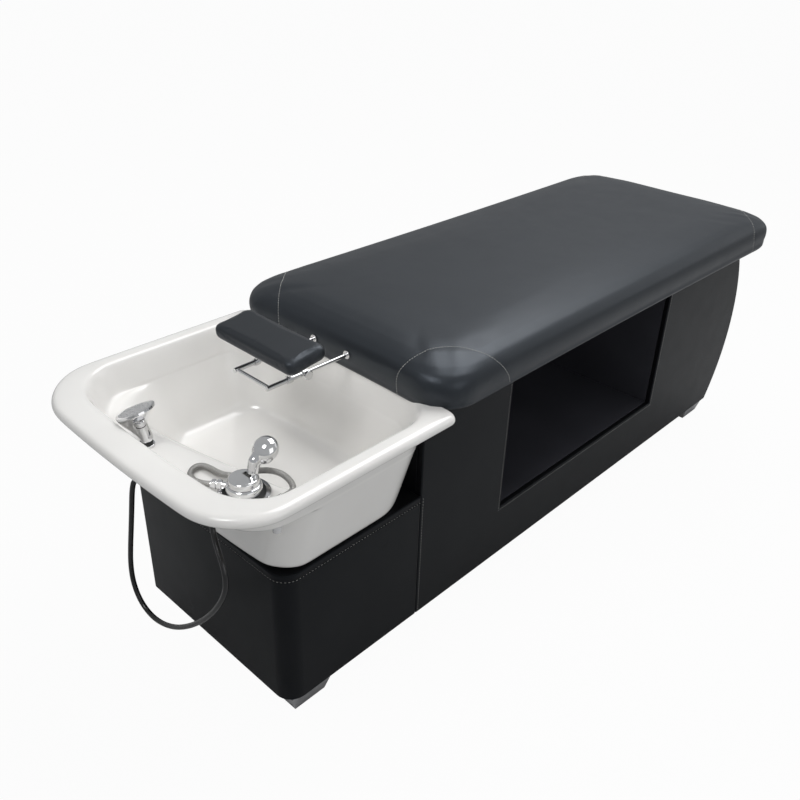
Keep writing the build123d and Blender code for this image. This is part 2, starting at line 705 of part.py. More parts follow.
# Holes for the drain, the mixer, the supply ferrule and the handset holder
drain_seat_z = basin_floor_z - drain_flange_thickness
basin -= Pos(drain_x, drain_y, 0) * Cylinder(drain_hole_radius, base_top_z, align=z_up)
basin -= Pos(drain_x, drain_y, drain_seat_z) * Cylinder(drain_flange_radius + soft_gap, base_top_z, align=z_up)
deck_holes = ((mixer_x, mixer_y, mixer_shank_radius), (ferrule_x, ferrule_y, inlet_radius),
              (holder_x, holder_y, holder_shank_radius))
for x, y, radius in deck_holes:
    basin -= Pos(x, y, deck_underside_z - basin_deck_wall) * Cylinder(radius + soft_gap, base_top_z, align=z_up)
save("basin", basin)

seat_outer = basin_plan(basin_bowl_front_x + basin_bowl_round, basin_bowl_bottom_back_x - basin_bowl_round,
                        bowl_bottom_half_width - basin_bowl_round, basin_bowl_radius - basin_bowl_round,
                        basin_bowl_radius - basin_bowl_round, shelf_top_z)
seat_inset = basin_bowl_round + basin_seat_width
seat_inner = basin_plan(basin_bowl_front_x + seat_inset, basin_bowl_bottom_back_x - seat_inset,
                        bowl_bottom_half_width - seat_inset, basin_bowl_radius - seat_inset,
                        basin_bowl_radius - seat_inset, shelf_top_z)
seat_height = basin_bottom_z - shelf_top_z
save("basin_seat", extrude(seat_outer, amount=seat_height) - extrude(seat_inner, amount=seat_height))

# Drain: flange with a sleeve, a strainer that lifts out, gasket and nut under the floor
drain_underside_z = basin_floor_z - basin_floor_wall
gasket_z = drain_underside_z - drain_gasket_height
drain_nut_z = gasket_z - drain_nut_height
sleeve_end_z = drain_nut_z - drain_sleeve_tail
drain_flange = Pos(drain_x, drain_y, drain_seat_z) * Cylinder(drain_flange_radius, drain_flange_thickness, align=z_up)
drain_flange += Pos(drain_x, drain_y, sleeve_end_z) * Cylinder(drain_sleeve_radius, drain_seat_z - sleeve_end_z,
                                                             align=z_up)
drain_flange -= Pos(drain_x, drain_y, 0) * Cylinder(drain_bore_radius, base_top_z, align=z_up)
save("drain_flange", drain_flange)

cup_radius = drain_bore_radius - strainer_gap
strainer = Cylinder(cup_radius, strainer_depth, align=(Align.CENTER, Align.CENTER, Align.MAX))
strainer -= Pos(0, 0, strainer_wall - strainer_depth) * Cylinder(cup_radius - strainer_wall, strainer_depth,
                                                                 align=z_up)
strainer += Cylinder(drain_bore_radius + strainer_lip, strainer_wall, align=z_up)
strainer -= Pos(0, 0, strainer_wall - strainer_depth) * Cylinder(cup_radius - strainer_wall,
                                                                 strainer_depth + strainer_wall, align=z_up)
strainer += Pos(0, 0, -strainer_depth) * Cylinder(strainer_knob_radius, strainer_depth, align=z_up)
for slot in PolarLocations((cup_radius + strainer_knob_radius) / 2, strainer_slots):
    strainer -= slot * Pos(0, 0, -strainer_depth) * Box(strainer_slot_length, strainer_slot_width, strainer_depth)
save("strainer", Pos(drain_x, drain_y, basin_floor_z + strainer_gap) * strainer)

save("drain_gasket", ring((drain_x, drain_y, gasket_z), drain_gasket_radius, drain_sleeve_radius,
                          drain_gasket_height))
save("drain_nut", hexagon((drain_x, drain_y, drain_nut_z), (drain_x, drain_y, gasket_z), drain_nut_radius,
                          drain_sleeve_radius))

# Waste: tailpiece, bottle trap and the pipe that leaves through the base floor
tail_bore = tailpiece_radius - tailpiece_wall
tailpiece = ring((drain_x, drain_y, trap_body_top_z), tailpiece_radius, tail_bore, sleeve_end_z - trap_body_top_z)
tailpiece += ring((drain_x, drain_y, sleeve_end_z - tailpiece_collar_height), drain_sleeve_radius, tail_bore,
                  tailpiece_collar_height)
save("tailpiece", tailpiece)

trap_height = trap_body_top_z - trap_body_bottom_z
trap_body = Pos(drain_x, drain_y, trap_body_bottom_z) * Cylinder(trap_body_radius, trap_height, align=z_up)
trap_body -= Pos(drain_x, drain_y, trap_body_bottom_z - trap_wall) * Cylinder(trap_body_radius - trap_wall,
                                                                            trap_height, align=z_up)
trap_body -= Pos(drain_x, drain_y, trap_body_bottom_z) * Cylinder(tail_bore, base_top_z, align=z_up)
pipe_start_x = drain_x + trap_body_radius
trap_body -= rod((drain_x, drain_y, waste_pipe_z), (pipe_start_x + overrun, drain_y, waste_pipe_z),
                 waste_pipe_radius - waste_pipe_wall)
save("trap_body", trap_body)

cup_bottom_z = trap_body_bottom_z - trap_cup_depth
trap_cup = Pos(drain_x, drain_y, cup_bottom_z) * Cylinder(trap_cup_radius, trap_cup_depth, align=z_up)
trap_cup -= Pos(drain_x, drain_y, cup_bottom_z + trap_wall) * Cylinder(trap_body_radius - trap_wall, trap_cup_depth,
                                                                      align=z_up)
save("trap_cup", trap_cup)

waste_path = FilletPolyline((drain_x, drain_y, waste_pipe_z), (waste_pipe_down_x, drain_y, waste_pipe_z),
                            (waste_pipe_down_x, drain_y, waste_pipe_end_z), radius=[waste_pipe_bend_radius])
waste_start = Plane(origin=(drain_x, drain_y, waste_pipe_z), z_dir=(1, 0, 0))
waste_pipe = sweep(waste_start * Circle(waste_pipe_radius), path=waste_path)
waste_spigot_top_z = waste_pipe_end_z + waste_spigot_length
waste_pipe -= ring((waste_pipe_down_x, drain_y, waste_pipe_end_z - overrun), waste_pipe_radius + overrun,
                   waste_spigot_radius, waste_spigot_top_z - waste_pipe_end_z + overrun)
waste_pipe -= sweep(waste_start * Circle(waste_pipe_radius - waste_pipe_wall), path=waste_path)
waste_pipe -= Pos(drain_x, drain_y, 0) * Cylinder(trap_body_radius, base_top_z, align=z_up)
save("waste_pipe", waste_pipe)

# Mixer tap: escutcheon, gasket and body on the deck, a cartridge in the body
escutcheon_top_z = basin_deck_z + escutcheon_height
body_z = escutcheon_top_z + mixer_gasket_height
body_top_z = body_z + mixer_body_height
save("escutcheon", ring((mixer_x, mixer_y, basin_deck_z), escutcheon_radius, mixer_shank_radius, escutcheon_height))
save("mixer_gasket", ring((mixer_x, mixer_y, escutcheon_top_z), mixer_gasket_radius, mixer_shank_radius,
                          mixer_gasket_height))
mixer_body = Pos(mixer_x, mixer_y, body_z) * Cylinder(mixer_body_radius, mixer_body_height, align=z_up)
mixer_body = fillet(mixer_body.edges().group_by(Axis.Z)[-1], radius=mixer_body_round)
cartridge_z = body_top_z - cartridge_depth
mixer_body -= Pos(mixer_x, mixer_y, cartridge_z) * Cylinder(cartridge_radius, mixer_body_height, align=z_up)
mixer_body += Pos(mixer_x, mixer_y, mixer_shank_bottom_z) * Cylinder(mixer_shank_radius,
                                                                     body_z - mixer_shank_bottom_z, align=z_up)
mixer_body += Pos(mixer_x, mixer_y, mixer_shank_bottom_z - inlet_length) * Cylinder(inlet_radius, inlet_length,
                                                                                   align=z_up)
supply_start = Vector(*supply_points[0])
port = rod(supply_start, Vector(mixer_x, mixer_y, supply_start.Z), port_radius)
mixer_body += port - Pos(mixer_x, mixer_y, cartridge_z) * Cylinder(cartridge_radius, mixer_body_height, align=z_up)
save("mixer_body", mixer_body)

cartridge = Pos(mixer_x, mixer_y, cartridge_z) * Cylinder(cartridge_radius, cartridge_depth, align=z_up)
cartridge += Pos(mixer_x, mixer_y, body_top_z) * Cylinder(cartridge_stem_radius, cartridge_stem_height,
                                                        align=z_up)
save("mixer_cartridge", cartridge)

# Lever hub that turns on the body, and the lever that tilts in it on a cross pin
hub_z = body_top_z + hub_gap
half_slot = hub_slot_width / 2
pivot = Vector(mixer_x + lever_pin_offset, mixer_y, hub_z + lever_pin_rise)
pin_reach = Vector(0, sqrt(hub_radius ** 2 - lever_pin_offset ** 2) - lever_pin_radius, 0)
hub = Pos(mixer_x, mixer_y, hub_z) * Cylinder(hub_radius, hub_height, align=z_up)
hub = fillet(hub.edges().group_by(Axis.Z)[-1], radius=hub_round)
hub -= block((pivot.X - lever_slot_back, mixer_x + hub_radius + overrun),
             (mixer_y - half_slot, mixer_y + half_slot), (hub_z - overrun, hub_z + hub_height + overrun))
hub -= Pos(mixer_x, mixer_y, hub_z - overrun) * Cylinder(cartridge_stem_radius + hub_gap,
                                                       cartridge_stem_height + overrun, align=z_up)
hub += rod(pivot - pin_reach, pivot + pin_reach, lever_pin_radius)
save("lever_hub", hub)

paddle_centre = pivot + Vector(lever_paddle_out, 0, lever_paddle_up)
paddle = scale(Sphere(lever_paddle_radius), by=(1, 1, lever_paddle_half_thickness / lever_paddle_radius))
lever = Pos(*paddle_centre) * Rot(0, -lever_paddle_tilt, 0) * paddle
neck_top = pivot + Vector(0, 0, lever_neck_height)
lever += rod(pivot, neck_top, lever_neck_radius, lever_neck_top_radius)
lever += Pos(*neck_top) * Sphere(lever_neck_top_radius)
lever += rod(neck_top, paddle_centre, lever_neck_top_radius)
lever += Pos(*pivot) * Rot(90, 0, 0) * Cylinder(lever_boss_radius, hub_slot_width - hub_gap - hub_gap)
lever -= rod(pivot - pin_reach, pivot + pin_reach, lever_pin_radius + lever_pin_gap)
save("lever", lever)

# Under the deck: backnuts, the outlet elbow, and the supply ferrule
backnut_z = deck_underside_z - backnut_height
backnuts = []
for x, y, radius in deck_holes:
    backnuts.append(hexagon((x, y, backnut_z), (x, y, deck_underside_z), backnut_radius, radius))
save("deck_backnuts", *backnuts)

hose_end = Vector(*handset_route[-1])
elbow_start = Vector(mixer_x, mixer_y, elbow_z)
elbow_corner = Vector(hose_end.X, hose_end.Y, elbow_z)
elbow_path = FilletPolyline(elbow_start, elbow_corner, hose_end, radius=[elbow_bend_radius])
elbow = sweep(Plane(origin=elbow_start, z_dir=elbow_corner - elbow_start) * Circle(elbow_radius), path=elbow_path)
elbow -= Pos(mixer_x, mixer_y, 0) * Cylinder(mixer_shank_radius, base_top_z, align=z_up)
save("outlet_elbow", elbow)

supply_end = Vector(*supply_points[-1])
ferrule_corner = Vector(ferrule_x, ferrule_y, supply_end.Z + supply_end.Z - supply_points[-2][2])
ferrule = Pos(ferrule_x, ferrule_y, basin_deck_z) * Cylinder(ferrule_flange_radius, ferrule_flange_height, align=z_up)
ferrule_tail_top_z = mixer_shank_bottom_z + ferrule_tail_length
ferrule += Pos(ferrule_x, ferrule_y, ferrule_tail_top_z) * Cylinder(inlet_radius, basin_deck_z - ferrule_tail_top_z,
                                                                   align=z_up)
ferrule += Pos(ferrule_x, ferrule_y, mixer_shank_bottom_z) * Cylinder(ferrule_tail_radius, ferrule_tail_length,
                                                                     align=z_up)
ferrule += rod(Vector(ferrule_x, ferrule_y, basin_deck_z), ferrule_corner, ferrule_elbow_radius)
ferrule += Pos(*ferrule_corner) * Sphere(ferrule_elbow_radius)
ferrule += rod(ferrule_corner, supply_end, ferrule_elbow_radius)
save("supply_ferrule", ferrule)

# Two hexagon nuts over the port, behind the supply hose
port_axis = (Vector(mixer_x, mixer_y, supply_start.Z) - supply_start).normalized()
nut_solids = []
nut_front = hose_nut_gap
for _ in range(2):
    nut_back = nut_front + hose_nut_length
    nut_solids.append(hexagon(supply_start + port_axis * nut_back, supply_start + port_axis * nut_front,
                              hose_nut_radius, port_radius))
    nut_front = nut_back + hose_nut_gap
save("supply_hose_nuts", *nut_solids)
save("supply_hose", hose(supply_points, supply_hose_radius))

# Handset: holder bush through the deck, bell-shaped body, spray face, collar and hose nut
holder_top_z = basin_deck_z + holder_flange_height
holder = Pos(holder_x, holder_y, basin_deck_z) * Cylinder(holder_flange_radius, holder_flange_height, align=z_up)
holder += Pos(holder_x, holder_y, backnut_z) * Cylinder(holder_shank_radius, basin_deck_z - backnut_z, align=z_up)
holder -= Pos(holder_x, holder_y, 0) * Cylinder(holder_bore_radius, base_top_z, align=z_up)
save("handset_holder", holder)

ring_z = holder_top_z + hub_gap
tail = Pos(holder_x, holder_y, handset_tail_bottom_z) * Cylinder(
    handset_tail_radius, ring_z + neck_ring_height + handset_neck_radius - handset_tail_bottom_z, align=z_up)
upright = Vector(0, 0, 1)
disc_normal = Vector(*handset_disc_normal).normalized()
bell_sections = []
for (x, y, z, radius), lean_share in zip(handset_bell, handset_lean_shares):
    lean = upright * (1 - lean_share) + disc_normal * lean_share
    bell_sections.append(Plane(origin=(x, y, z), z_dir=lean) * Circle(radius))
disc_plane = Plane(origin=handset_disc, z_dir=disc_normal)
neck_foot = Vector(holder_x, holder_y, ring_z + neck_ring_height)
handset_top = Vector(*handset_neck_top)
handset_body = loft(bell_sections) + disc_plane * Cylinder(handset_disc_radius, handset_disc_thickness, align=z_up)
handset_body += rod(neck_foot, handset_top, handset_neck_radius)
handset_body += tail
face_recess = handset_disc_thickness - spray_face_thickness
handset_body -= disc_plane * Pos(0, 0, face_recess) * Cylinder(spray_face_radius, handset_disc_thickness, align=z_up)
save("handset_body", handset_body)

neck_axis = (handset_top - neck_foot).normalized()
collar_end = handset_top - neck_axis * collar_ring_length
collar_start = collar_end - neck_axis * collar_length
collar = rod(collar_start, collar_end, collar_radius) - handset_body
save("handset_collar", *collar.solids().sort_by(SortBy.VOLUME)[-1:])
lower_ring = Pos(holder_x, holder_y, ring_z) * Cylinder(neck_ring_radius, neck_ring_height, align=z_up) - handset_body
upper_ring = rod(collar_start - neck_axis * collar_ring_length, collar_start, collar_radius) - handset_body
save("handset_rings", lower_ring, *upper_ring.solids().sort_by(SortBy.VOLUME)[-1:])

spray_face = Cylinder(spray_face_radius, spray_face_thickness, align=z_up)
for number in range(spray_ring_count):
    for spot in PolarLocations(number * spray_ring_step, max(1, 6 * number)):
        spray_face += spot * Pos(0, 0, spray_face_thickness) * Cylinder(spray_nozzle_radius, spray_nozzle_height,
                                                                        align=z_up)
save("spray_face", disc_plane * Pos(0, 0, face_recess) * spray_face)

save("handset_hose_nut", rod(Vector(*handset_route[0]), Vector(holder_x, holder_y, handset_tail_bottom_z),
                             handset_nut_radius))
save("handset_hose", hose(handset_route, handset_hose_radius))
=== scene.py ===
from math import cos, pi, radians, sin

import bmesh
import bpy
from mathutils import Matrix, Vector
from mathutils.bvhtree import BVHTree
from mathutils.kdtree import KDTree


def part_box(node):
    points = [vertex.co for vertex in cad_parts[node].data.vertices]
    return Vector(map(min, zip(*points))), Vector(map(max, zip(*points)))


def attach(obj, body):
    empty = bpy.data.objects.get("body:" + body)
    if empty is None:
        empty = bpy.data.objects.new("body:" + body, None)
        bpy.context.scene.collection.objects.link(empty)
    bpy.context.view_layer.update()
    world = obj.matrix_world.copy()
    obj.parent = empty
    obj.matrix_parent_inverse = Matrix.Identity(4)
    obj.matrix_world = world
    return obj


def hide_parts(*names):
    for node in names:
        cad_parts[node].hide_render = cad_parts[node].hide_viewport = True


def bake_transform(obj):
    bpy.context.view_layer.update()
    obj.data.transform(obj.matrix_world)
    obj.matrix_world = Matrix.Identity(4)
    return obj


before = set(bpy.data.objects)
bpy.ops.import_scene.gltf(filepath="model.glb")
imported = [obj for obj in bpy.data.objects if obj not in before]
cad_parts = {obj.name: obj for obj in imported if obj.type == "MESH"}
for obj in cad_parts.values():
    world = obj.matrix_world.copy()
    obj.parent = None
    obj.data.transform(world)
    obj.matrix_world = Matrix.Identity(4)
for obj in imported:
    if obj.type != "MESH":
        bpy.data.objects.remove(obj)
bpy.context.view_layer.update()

# The camera stands where the photographer stood, off the basin corner and above the rim.
# Its place, turn and lens were solved from the bed's own corners.
camera_place = Vector((-1.536, -1.1697, 1.4406))
camera_azimuth = radians(-47.105)
camera_elevation = radians(30.492)
camera_roll = radians(1.84)
camera_lens = 38.33
camera_sensor = 36.0
camera_reach = 50.0

looking = Vector((
    -sin(camera_azimuth) * cos(camera_elevation),
    cos(camera_azimuth) * cos(camera_elevation),
    -sin(camera_elevation),
))
level_right = looking.cross(Vector((0, 0, 1))).normalized()
level_up = level_right.cross(looking)
camera_right = level_right * cos(camera_roll) + level_up * sin(camera_roll)
camera_up = level_up * cos(camera_roll) - level_right * sin(camera_roll)
camera = bpy.data.objects.new("camera", bpy.data.cameras.new("camera"))
camera.data.lens = camera_lens
camera.data.sensor_width = camera_sensor
camera.data.clip_end = camera_reach
camera.matrix_world = Matrix.Translation(camera_place) @ Matrix(
    (camera_right, camera_up, -looking)).transposed().to_4x4()
bpy.context.scene.collection.objects.link(camera)
bpy.context.scene.camera = camera


# The handset's hose: black rubber, 10.5 mm thick. It hangs in one loop in front of the bed's head
# panel, from the nut under the holder down and round to the elbow below the mixer.
handset_hose_radius = 0.00525
weld = 0.00001
handset_route = [
    (-0.8950, 0.0600, 0.5120), (-0.8950, 0.0600, 0.4860), (-0.9160, 0.0900, 0.4740),
    (-0.9185, 0.0980, 0.4500), (-0.9190, 0.1040, 0.4280), (-0.9200, 0.1140, 0.3850),
    (-0.9210, 0.1250, 0.3400), (-0.9220, 0.1390, 0.2860), (-0.9230, 0.1510, 0.2320),
    (-0.9240, 0.1520, 0.1800), (-0.9240, 0.1340, 0.1390), (-0.9240, 0.0960, 0.1230),
    (-0.9240, 0.0500, 0.1310), (-0.9240, -0.0020, 0.1580), (-0.9240, -0.0520, 0.1970),
    (-0.9230, -0.1000, 0.2430), (-0.9220, -0.1440, 0.2950), (-0.9200, -0.1770, 0.3460),
    (-0.9170, -0.1930, 0.3880), (-0.9120, -0.1830, 0.4220), (-0.9050, -0.1600, 0.4410),
    (-0.8970, -0.1380, 0.4570), (-0.8920, -0.1270, 0.4770), (-0.8920, -0.1270, 0.4980),
]


class Value:
    """A number that changes over a surface, written in sums as plain numbers are."""

    def __init__(self, finish, socket):
        self.finish = finish
        self.socket = socket

    def math(self, operation, *others):
        return self.finish.add("ShaderNodeMath", {"operation": operation}, dict(enumerate((self, *others))))

    def __add__(self, other):
        return self.math("ADD", other)

    def __sub__(self, other):
        return self.math("SUBTRACT", other)

    def __mul__(self, other):
        return self.math("MULTIPLY", other)


class Finish:
    """A surface finish: one Principled shader, with what drives it."""

    def __init__(self, name, **plain):
        self.material = bpy.data.materials.new(name)
        self.material.use_nodes = True
        self.tree = self.material.node_tree
        self.shader = self.tree.nodes["Principled BSDF"]
        self.place = self.add("ShaderNodeTexCoord", {}, {}, "Object")
        for name, value in plain.items():
            self.shader.inputs[name.replace("_", " ")].default_value = value

    def add(self, kind, settings, sockets, output=0):
        """Add a node with its settings and inputs, and give back one output."""
        node = self.tree.nodes.new(kind)
        for name, value in settings.items():
            if name == "stops":
                for stop, (position, color) in zip(node.color_ramp.elements, value):
                    stop.position = position
                    stop.color = color
            else:
                setattr(node, name, value)
        for name, value in sockets.items():
            if isinstance(value, Value):
                self.tree.links.new(value.socket, node.inputs[name])
            else:
                node.inputs[name].default_value = value
        return Value(self, node.outputs[output])

    def drive(self, name, value):
        """Let a value that changes over the surface set one of the shader's inputs."""
        self.tree.links.new(value.socket, self.shader.inputs[name])

    def noise(self, size, detail=3.0, place=None):
        """Soft blotches of about the given size, in metres."""
        sockets = {"Vector": place or self.place, "Scale": 1 / size, "Detail": detail}
        return self.add("ShaderNodeTexNoise", {"noise_dimensions": "3D"}, sockets)

    def cells(self, size):
        """Distance from the middle of pebble-like cells of about the given size, in metres."""
        return self.add("ShaderNodeTexVoronoi", {"feature": "F1"}, {"Vector": self.place, "Scale": 1 / size})

    def shades(self, mask, dark, light, low=0.35, high=0.65):
        """A colour that goes from dark to light with the mask."""
        stops = ((low, (*dark, 1.0)), (high, (*light, 1.0)))
        return self.add("ShaderNodeValToRGB", {"stops": stops}, {"Fac": mask})

    def levels(self, mask, low, high):
        """The mask, spread between two plain numbers."""
        return mask * (high - low) + low

    def bump(self, height, depth, strength, under=None):
        """Fine relief of the given depth, over another relief where there is one."""
        sockets = {"Height": height, "Distance": depth, "Strength": strength}
        if under:
            sockets["Normal"] = under
        return self.add("ShaderNodeBump", {}, sockets)


black_hose = Finish("black_hose", Coat_Weight=0.15)
black_hose.drive("Base Color", black_hose.shades(
    black_hose.noise(0.03), (0.005, 0.005, 0.0055), (0.009, 0.009, 0.0095)))
black_hose.drive("Roughness", black_hose.levels(black_hose.noise(0.012), 0.16, 0.28))
black_hose.drive("Normal", black_hose.bump(black_hose.noise(0.0012), 0.0002, 0.3))


def show(name, data, body=None):
    """Put a finished mesh or curve in the scene, riding on a body."""
    piece = bpy.data.objects.new(name, data)
    bpy.context.scene.collection.objects.link(piece)
    if body:
        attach(piece, body)
    return piece


def smooth_line(name, route):
    """A smooth line with the route's points as its control points."""
    curve = bpy.data.curves.new(name, "CURVE")
    curve.dimensions = "3D"
    spline = curve.splines.new("NURBS")
    spline.points.add(len(route) - 1)
    for point, place in zip(spline.points, route):
        point.co = (*place, 1.0)
    spline.order_u = 3
    spline.use_endpoint_u = True
    curve.resolution_u = 10
    return curve


def line_points(curve):
    """Close points along a smooth line, as Blender itself draws it."""
    drawn = show("line", curve)
    bpy.context.view_layer.update()
    mesh = bpy.data.meshes.new_from_object(drawn)
    points = [vertex.co.copy() for vertex in mesh.vertices]
    bpy.data.objects.remove(drawn)
    bpy.data.meshes.remove(mesh)
    return points


def tube_mesh(name, curve, radius):
    """The round tube that follows a smooth line."""
    curve.bevel_depth = radius
    curve.bevel_resolution = 6
    curve.use_fill_caps = True
    drawn = show("tube", curve)
    bpy.context.view_layer.update()
    mesh = bpy.data.meshes.new_from_object(drawn)
    mesh.name = name
    bpy.data.objects.remove(drawn)
    form = bmesh.new()
    form.from_mesh(mesh)
    bmesh.ops.remove_doubles(form, verts=form.verts, dist=weld)
    for face in form.faces:
        face.smooth = True
    form.to_mesh(mesh)
    form.free()
    return mesh


handset_line = smooth_line("handset_hose_line", handset_route)
handset_points = line_points(handset_line)
handset_hose = show("handset_hose_tube", tube_mesh("handset_hose_tube", handset_line, handset_hose_radius))
handset_hose.data.materials.append(black_hose.material)
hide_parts("handset_hose")
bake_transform(handset_hose)


# The supply hose: stainless braid over rubber, 11 mm thick. It leaves the mixer's side port, loops
# over the tap deck and goes round behind the mixer to the elbow in the deck.
supply_hose_radius = 0.0055
supply_route = [
    (-0.89200, -0.13660, 0.5700), (-0.89848, -0.12843, 0.5700), (-0.9030, -0.1160, 0.5684),
    (-0.9030, -0.0990, 0.5660), (-0.8980, -0.0830, 0.5638), (-0.8880, -0.0715, 0.5632),
    (-0.8740, -0.0665, 0.5630), (-0.8630, -0.0740, 0.5630), (-0.8590, -0.0900, 0.5630),
    (-0.8580, -0.1080, 0.5632), (-0.8540, -0.1260, 0.5646), (-0.8440, -0.1420, 0.5674),
    (-0.8280, -0.1540, 0.5714), (-0.8120, -0.1700, 0.5768), (-0.8030, -0.1890, 0.5816),
    (-0.7990, -0.2090, 0.5850), (-0.7990, -0.2270, 0.5854), (-0.8010, -0.2430, 0.5826),
    (-0.8070, -0.2540, 0.5790), (-0.8170, -0.2565, 0.5755), (-0.8290, -0.2520, 0.5720),
]
braid_wires_round = 10.0
braid_wires_along = 150.0

braid = Finish("braided_hose", Metallic=1.0)
braid_place = braid.add("ShaderNodeTexCoord", {}, {}, "UV")
wires_along = braid.add("ShaderNodeSeparateXYZ", {}, {0: braid_place}, "X") * (braid_wires_along * 2 * pi)
wires_round = braid.add("ShaderNodeSeparateXYZ", {}, {0: braid_place}, "Y") * (braid_wires_round * 2 * pi)
left_wires = (wires_along + wires_round).math("SINE")
right_wires = (wires_along - wires_round).math("SINE")
braid_height = left_wires.math("MAXIMUM", right_wires)
# The braid's colour is painted shade: darkest in the low places between the wires, lighter towards each
# wire's crest.
braid.drive("Base Color", braid.shades(
    braid_height, (0.16, 0.155, 0.15), (0.55, 0.54, 0.52), 0.0, 0.9))
braid.drive("Roughness", braid.levels(braid.noise(0.004), 0.28, 0.42))
braid.drive("Normal", braid.bump(braid_height, 0.0005, 0.6))

supply_line = smooth_line("supply_hose_line", supply_route)
supply_points = line_points(supply_line)
supply_hose = show("supply_hose_tube",
                   tube_mesh("supply_hose_tube", supply_line, supply_hose_radius), "bed")
supply_hose.data.materials.append(braid.material)
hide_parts("supply_hose")


# The upholstered base: boards covered in black leatherette with a fine pebbled grain. The cover
# is stretched round the boards' edges and seamed with pale thread where two panels meet.
panel_edge = 0.0035
flat_angle = radians(1.0)
sharp_angle = radians(32.0)


def leatherette(name, dark, light, rough, grain, depth, sheen):
    """A coated cloth: pebbled grain, faint blotches, painted shade in the grain's dips and a soft, cool,
    uneven sheen.
    """
    finish = Finish(name, Specular_IOR_Level=sheen, Specular_Tint=(0.77, 0.87, 1.0, 1.0))
    pebbles = finish.cells(grain)
    blotches = finish.noise(0.11, 4.0)
    # The colour is partly painted shade, darker in the dips of the pebbled grain, and partly faint random
    # blotches of tone.
    finish.drive("Base Color", finish.shades(blotches * 0.75 + pebbles * 0.25, dark, light, 0.3, 0.7))
    finish.drive("Roughness", finish.levels(finish.noise(0.06), rough - 0.05, rough + 0.07) + pebbles * 0.05)
    creases = finish.bump(finish.noise(0.02, 5.0), 0.0006, 0.12)
    finish.drive("Normal", finish.bump(pebbles, depth, 0.35, creases))
    return finish


base_cover = leatherette("base_leatherette", (0.0050, 0.0052, 0.0058), (0.0075, 0.0077, 0.0085),
                         rough=0.28, grain=0.0016, depth=0.0002, sheen=0.13)


def welded(node):
    """A welded copy of a CAD node, with its flat faces whole again."""
    form = bmesh.new()
    form.from_mesh(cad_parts[node].data)
    bmesh.ops.remove_doubles(form, verts=form.verts, dist=weld)
    bmesh.ops.dissolve_limit(form, angle_limit=flat_angle, verts=form.verts, edges=form.edges)
    for face in form.faces:
        face.smooth = True
    for edge in form.edges:
        if len(edge.link_faces) == 2:
            edge.smooth = edge.calc_face_angle(0) < sharp_angle
    return form


def mesh_from(form, name, finish):
    """Turn a finished form into a mesh with its finish."""
    mesh = bpy.data.meshes.new(name)
    form.to_mesh(mesh)
    form.free()
    mesh.materials.append(finish.material)
    return mesh


def dress(node, body, finish, edge, segments=3):
    """Show a CAD node as a smooth piece with eased edges."""
    piece = show(node + "_piece", mesh_from(welded(node), node + "_piece", finish), body)
    ease = piece.modifiers.new("eased_edges", "BEVEL")
    ease.width = edge
    ease.segments = segments
    ease.limit_method = "ANGLE"
    ease.angle_limit = sharp_angle
    ease.harden_normals = True
    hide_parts(node)


for panel in ("near_side_panel", "far_side_panel", "foot_panel", "head_shell", "head_shelf"):
    dress(panel, "bed", base_cover, panel_edge)

thread = Finish("pale_thread", Roughness=0.7)
thread.drive("Base Color", thread.shades(thread.noise(0.002), (0.42, 0.42, 0.40), (0.62, 0.61, 0.58)))
thread.drive("Normal", thread.bump(thread.noise(0.0006), 0.0002, 0.5))


def spaced(points, pitch):
    """Even places along a line of points, each with the line's direction there."""
    places = []
    travelled = pitch / 2
    for before, after in zip(points, points[1:]):
        run = after - before
        while travelled <= run.length and run.length:
            places.append((before + run * (travelled / run.length), run.normalized()))
            travelled += pitch
        travelled -= run.length
    return places


def stitch_row(name, places, length, radius, body):
    """One row of thread: a small plump stitch at each place, in one mesh."""
    form = bmesh.new()
    for place, direction in places:
        lie = Matrix.Translation(place) @ direction.to_track_quat("X", "Z").to_matrix().to_4x4()
        size = Matrix.Diagonal((length / 2, radius, radius, 1.0))
        bmesh.ops.create_icosphere(form, subdivisions=1, radius=1.0, matrix=lie @ size)
    for face in form.faces:
        face.smooth = True
    row = show(name, mesh_from(form, name, thread), body)


# Seams of the base cover, in pale thread: round the niche, down the step where the low head
# section meets the bed, and along the shelf's edge under the basin.
stitch_pitch = 0.0075
stitch_length = 0.0046
stitch_radius = 0.00042
stitch_proud = stitch_radius * 0.3
seam_inset = 0.007
shelf_corner = 0.040
shelf_corner_steps = 16
niche_low, niche_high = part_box("niche_floor")
niche_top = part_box("niche_ceiling")[0].z
side_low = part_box("near_side_panel")[0]
shelf_low, shelf_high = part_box("head_shelf")
near_face = side_low.y - stitch_proud
niche_seam = [
    Vector((niche_low.x - seam_inset, near_face, niche_top + seam_inset)),
    Vector((niche_low.x - seam_inset, near_face, niche_high.z - seam_inset)),
    Vector((niche_high.x + seam_inset, near_face, niche_high.z - seam_inset)),
    Vector((niche_high.x + seam_inset, near_face, niche_top + seam_inset)),
]
stitch_row("niche_stitches", spaced(niche_seam, stitch_pitch), stitch_length, stitch_radius, "bed")
for side, face_y in (("near", near_face), ("far", -near_face)):
    step_seam = [Vector((side_low.x + seam_inset, face_y, side_low.z + seam_inset)),
                 Vector((side_low.x + seam_inset, face_y, shelf_high.z - seam_inset))]
    stitch_row(side + "_step_stitches", spaced(step_seam, stitch_pitch), stitch_length, stitch_radius,
               "bed")
shelf_seam = [Vector((side_low.x, near_face, shelf_low.z))]
for step in range(shelf_corner_steps + 1):
    turned = radians(270 - 90 * step / shelf_corner_steps)
    outward = Vector((cos(turned), sin(turned), 0)) * (shelf_corner + stitch_proud)
    shelf_seam.append(shelf_low + Vector((shelf_corner, shelf_corner, 0)) + outward)
shelf_seam += [Vector((point.x, -point.y, point.z)) for point in reversed(shelf_seam)]
stitch_row("shelf_stitches", spaced(shelf_seam, stitch_pitch), stitch_length, stitch_radius, "bed")


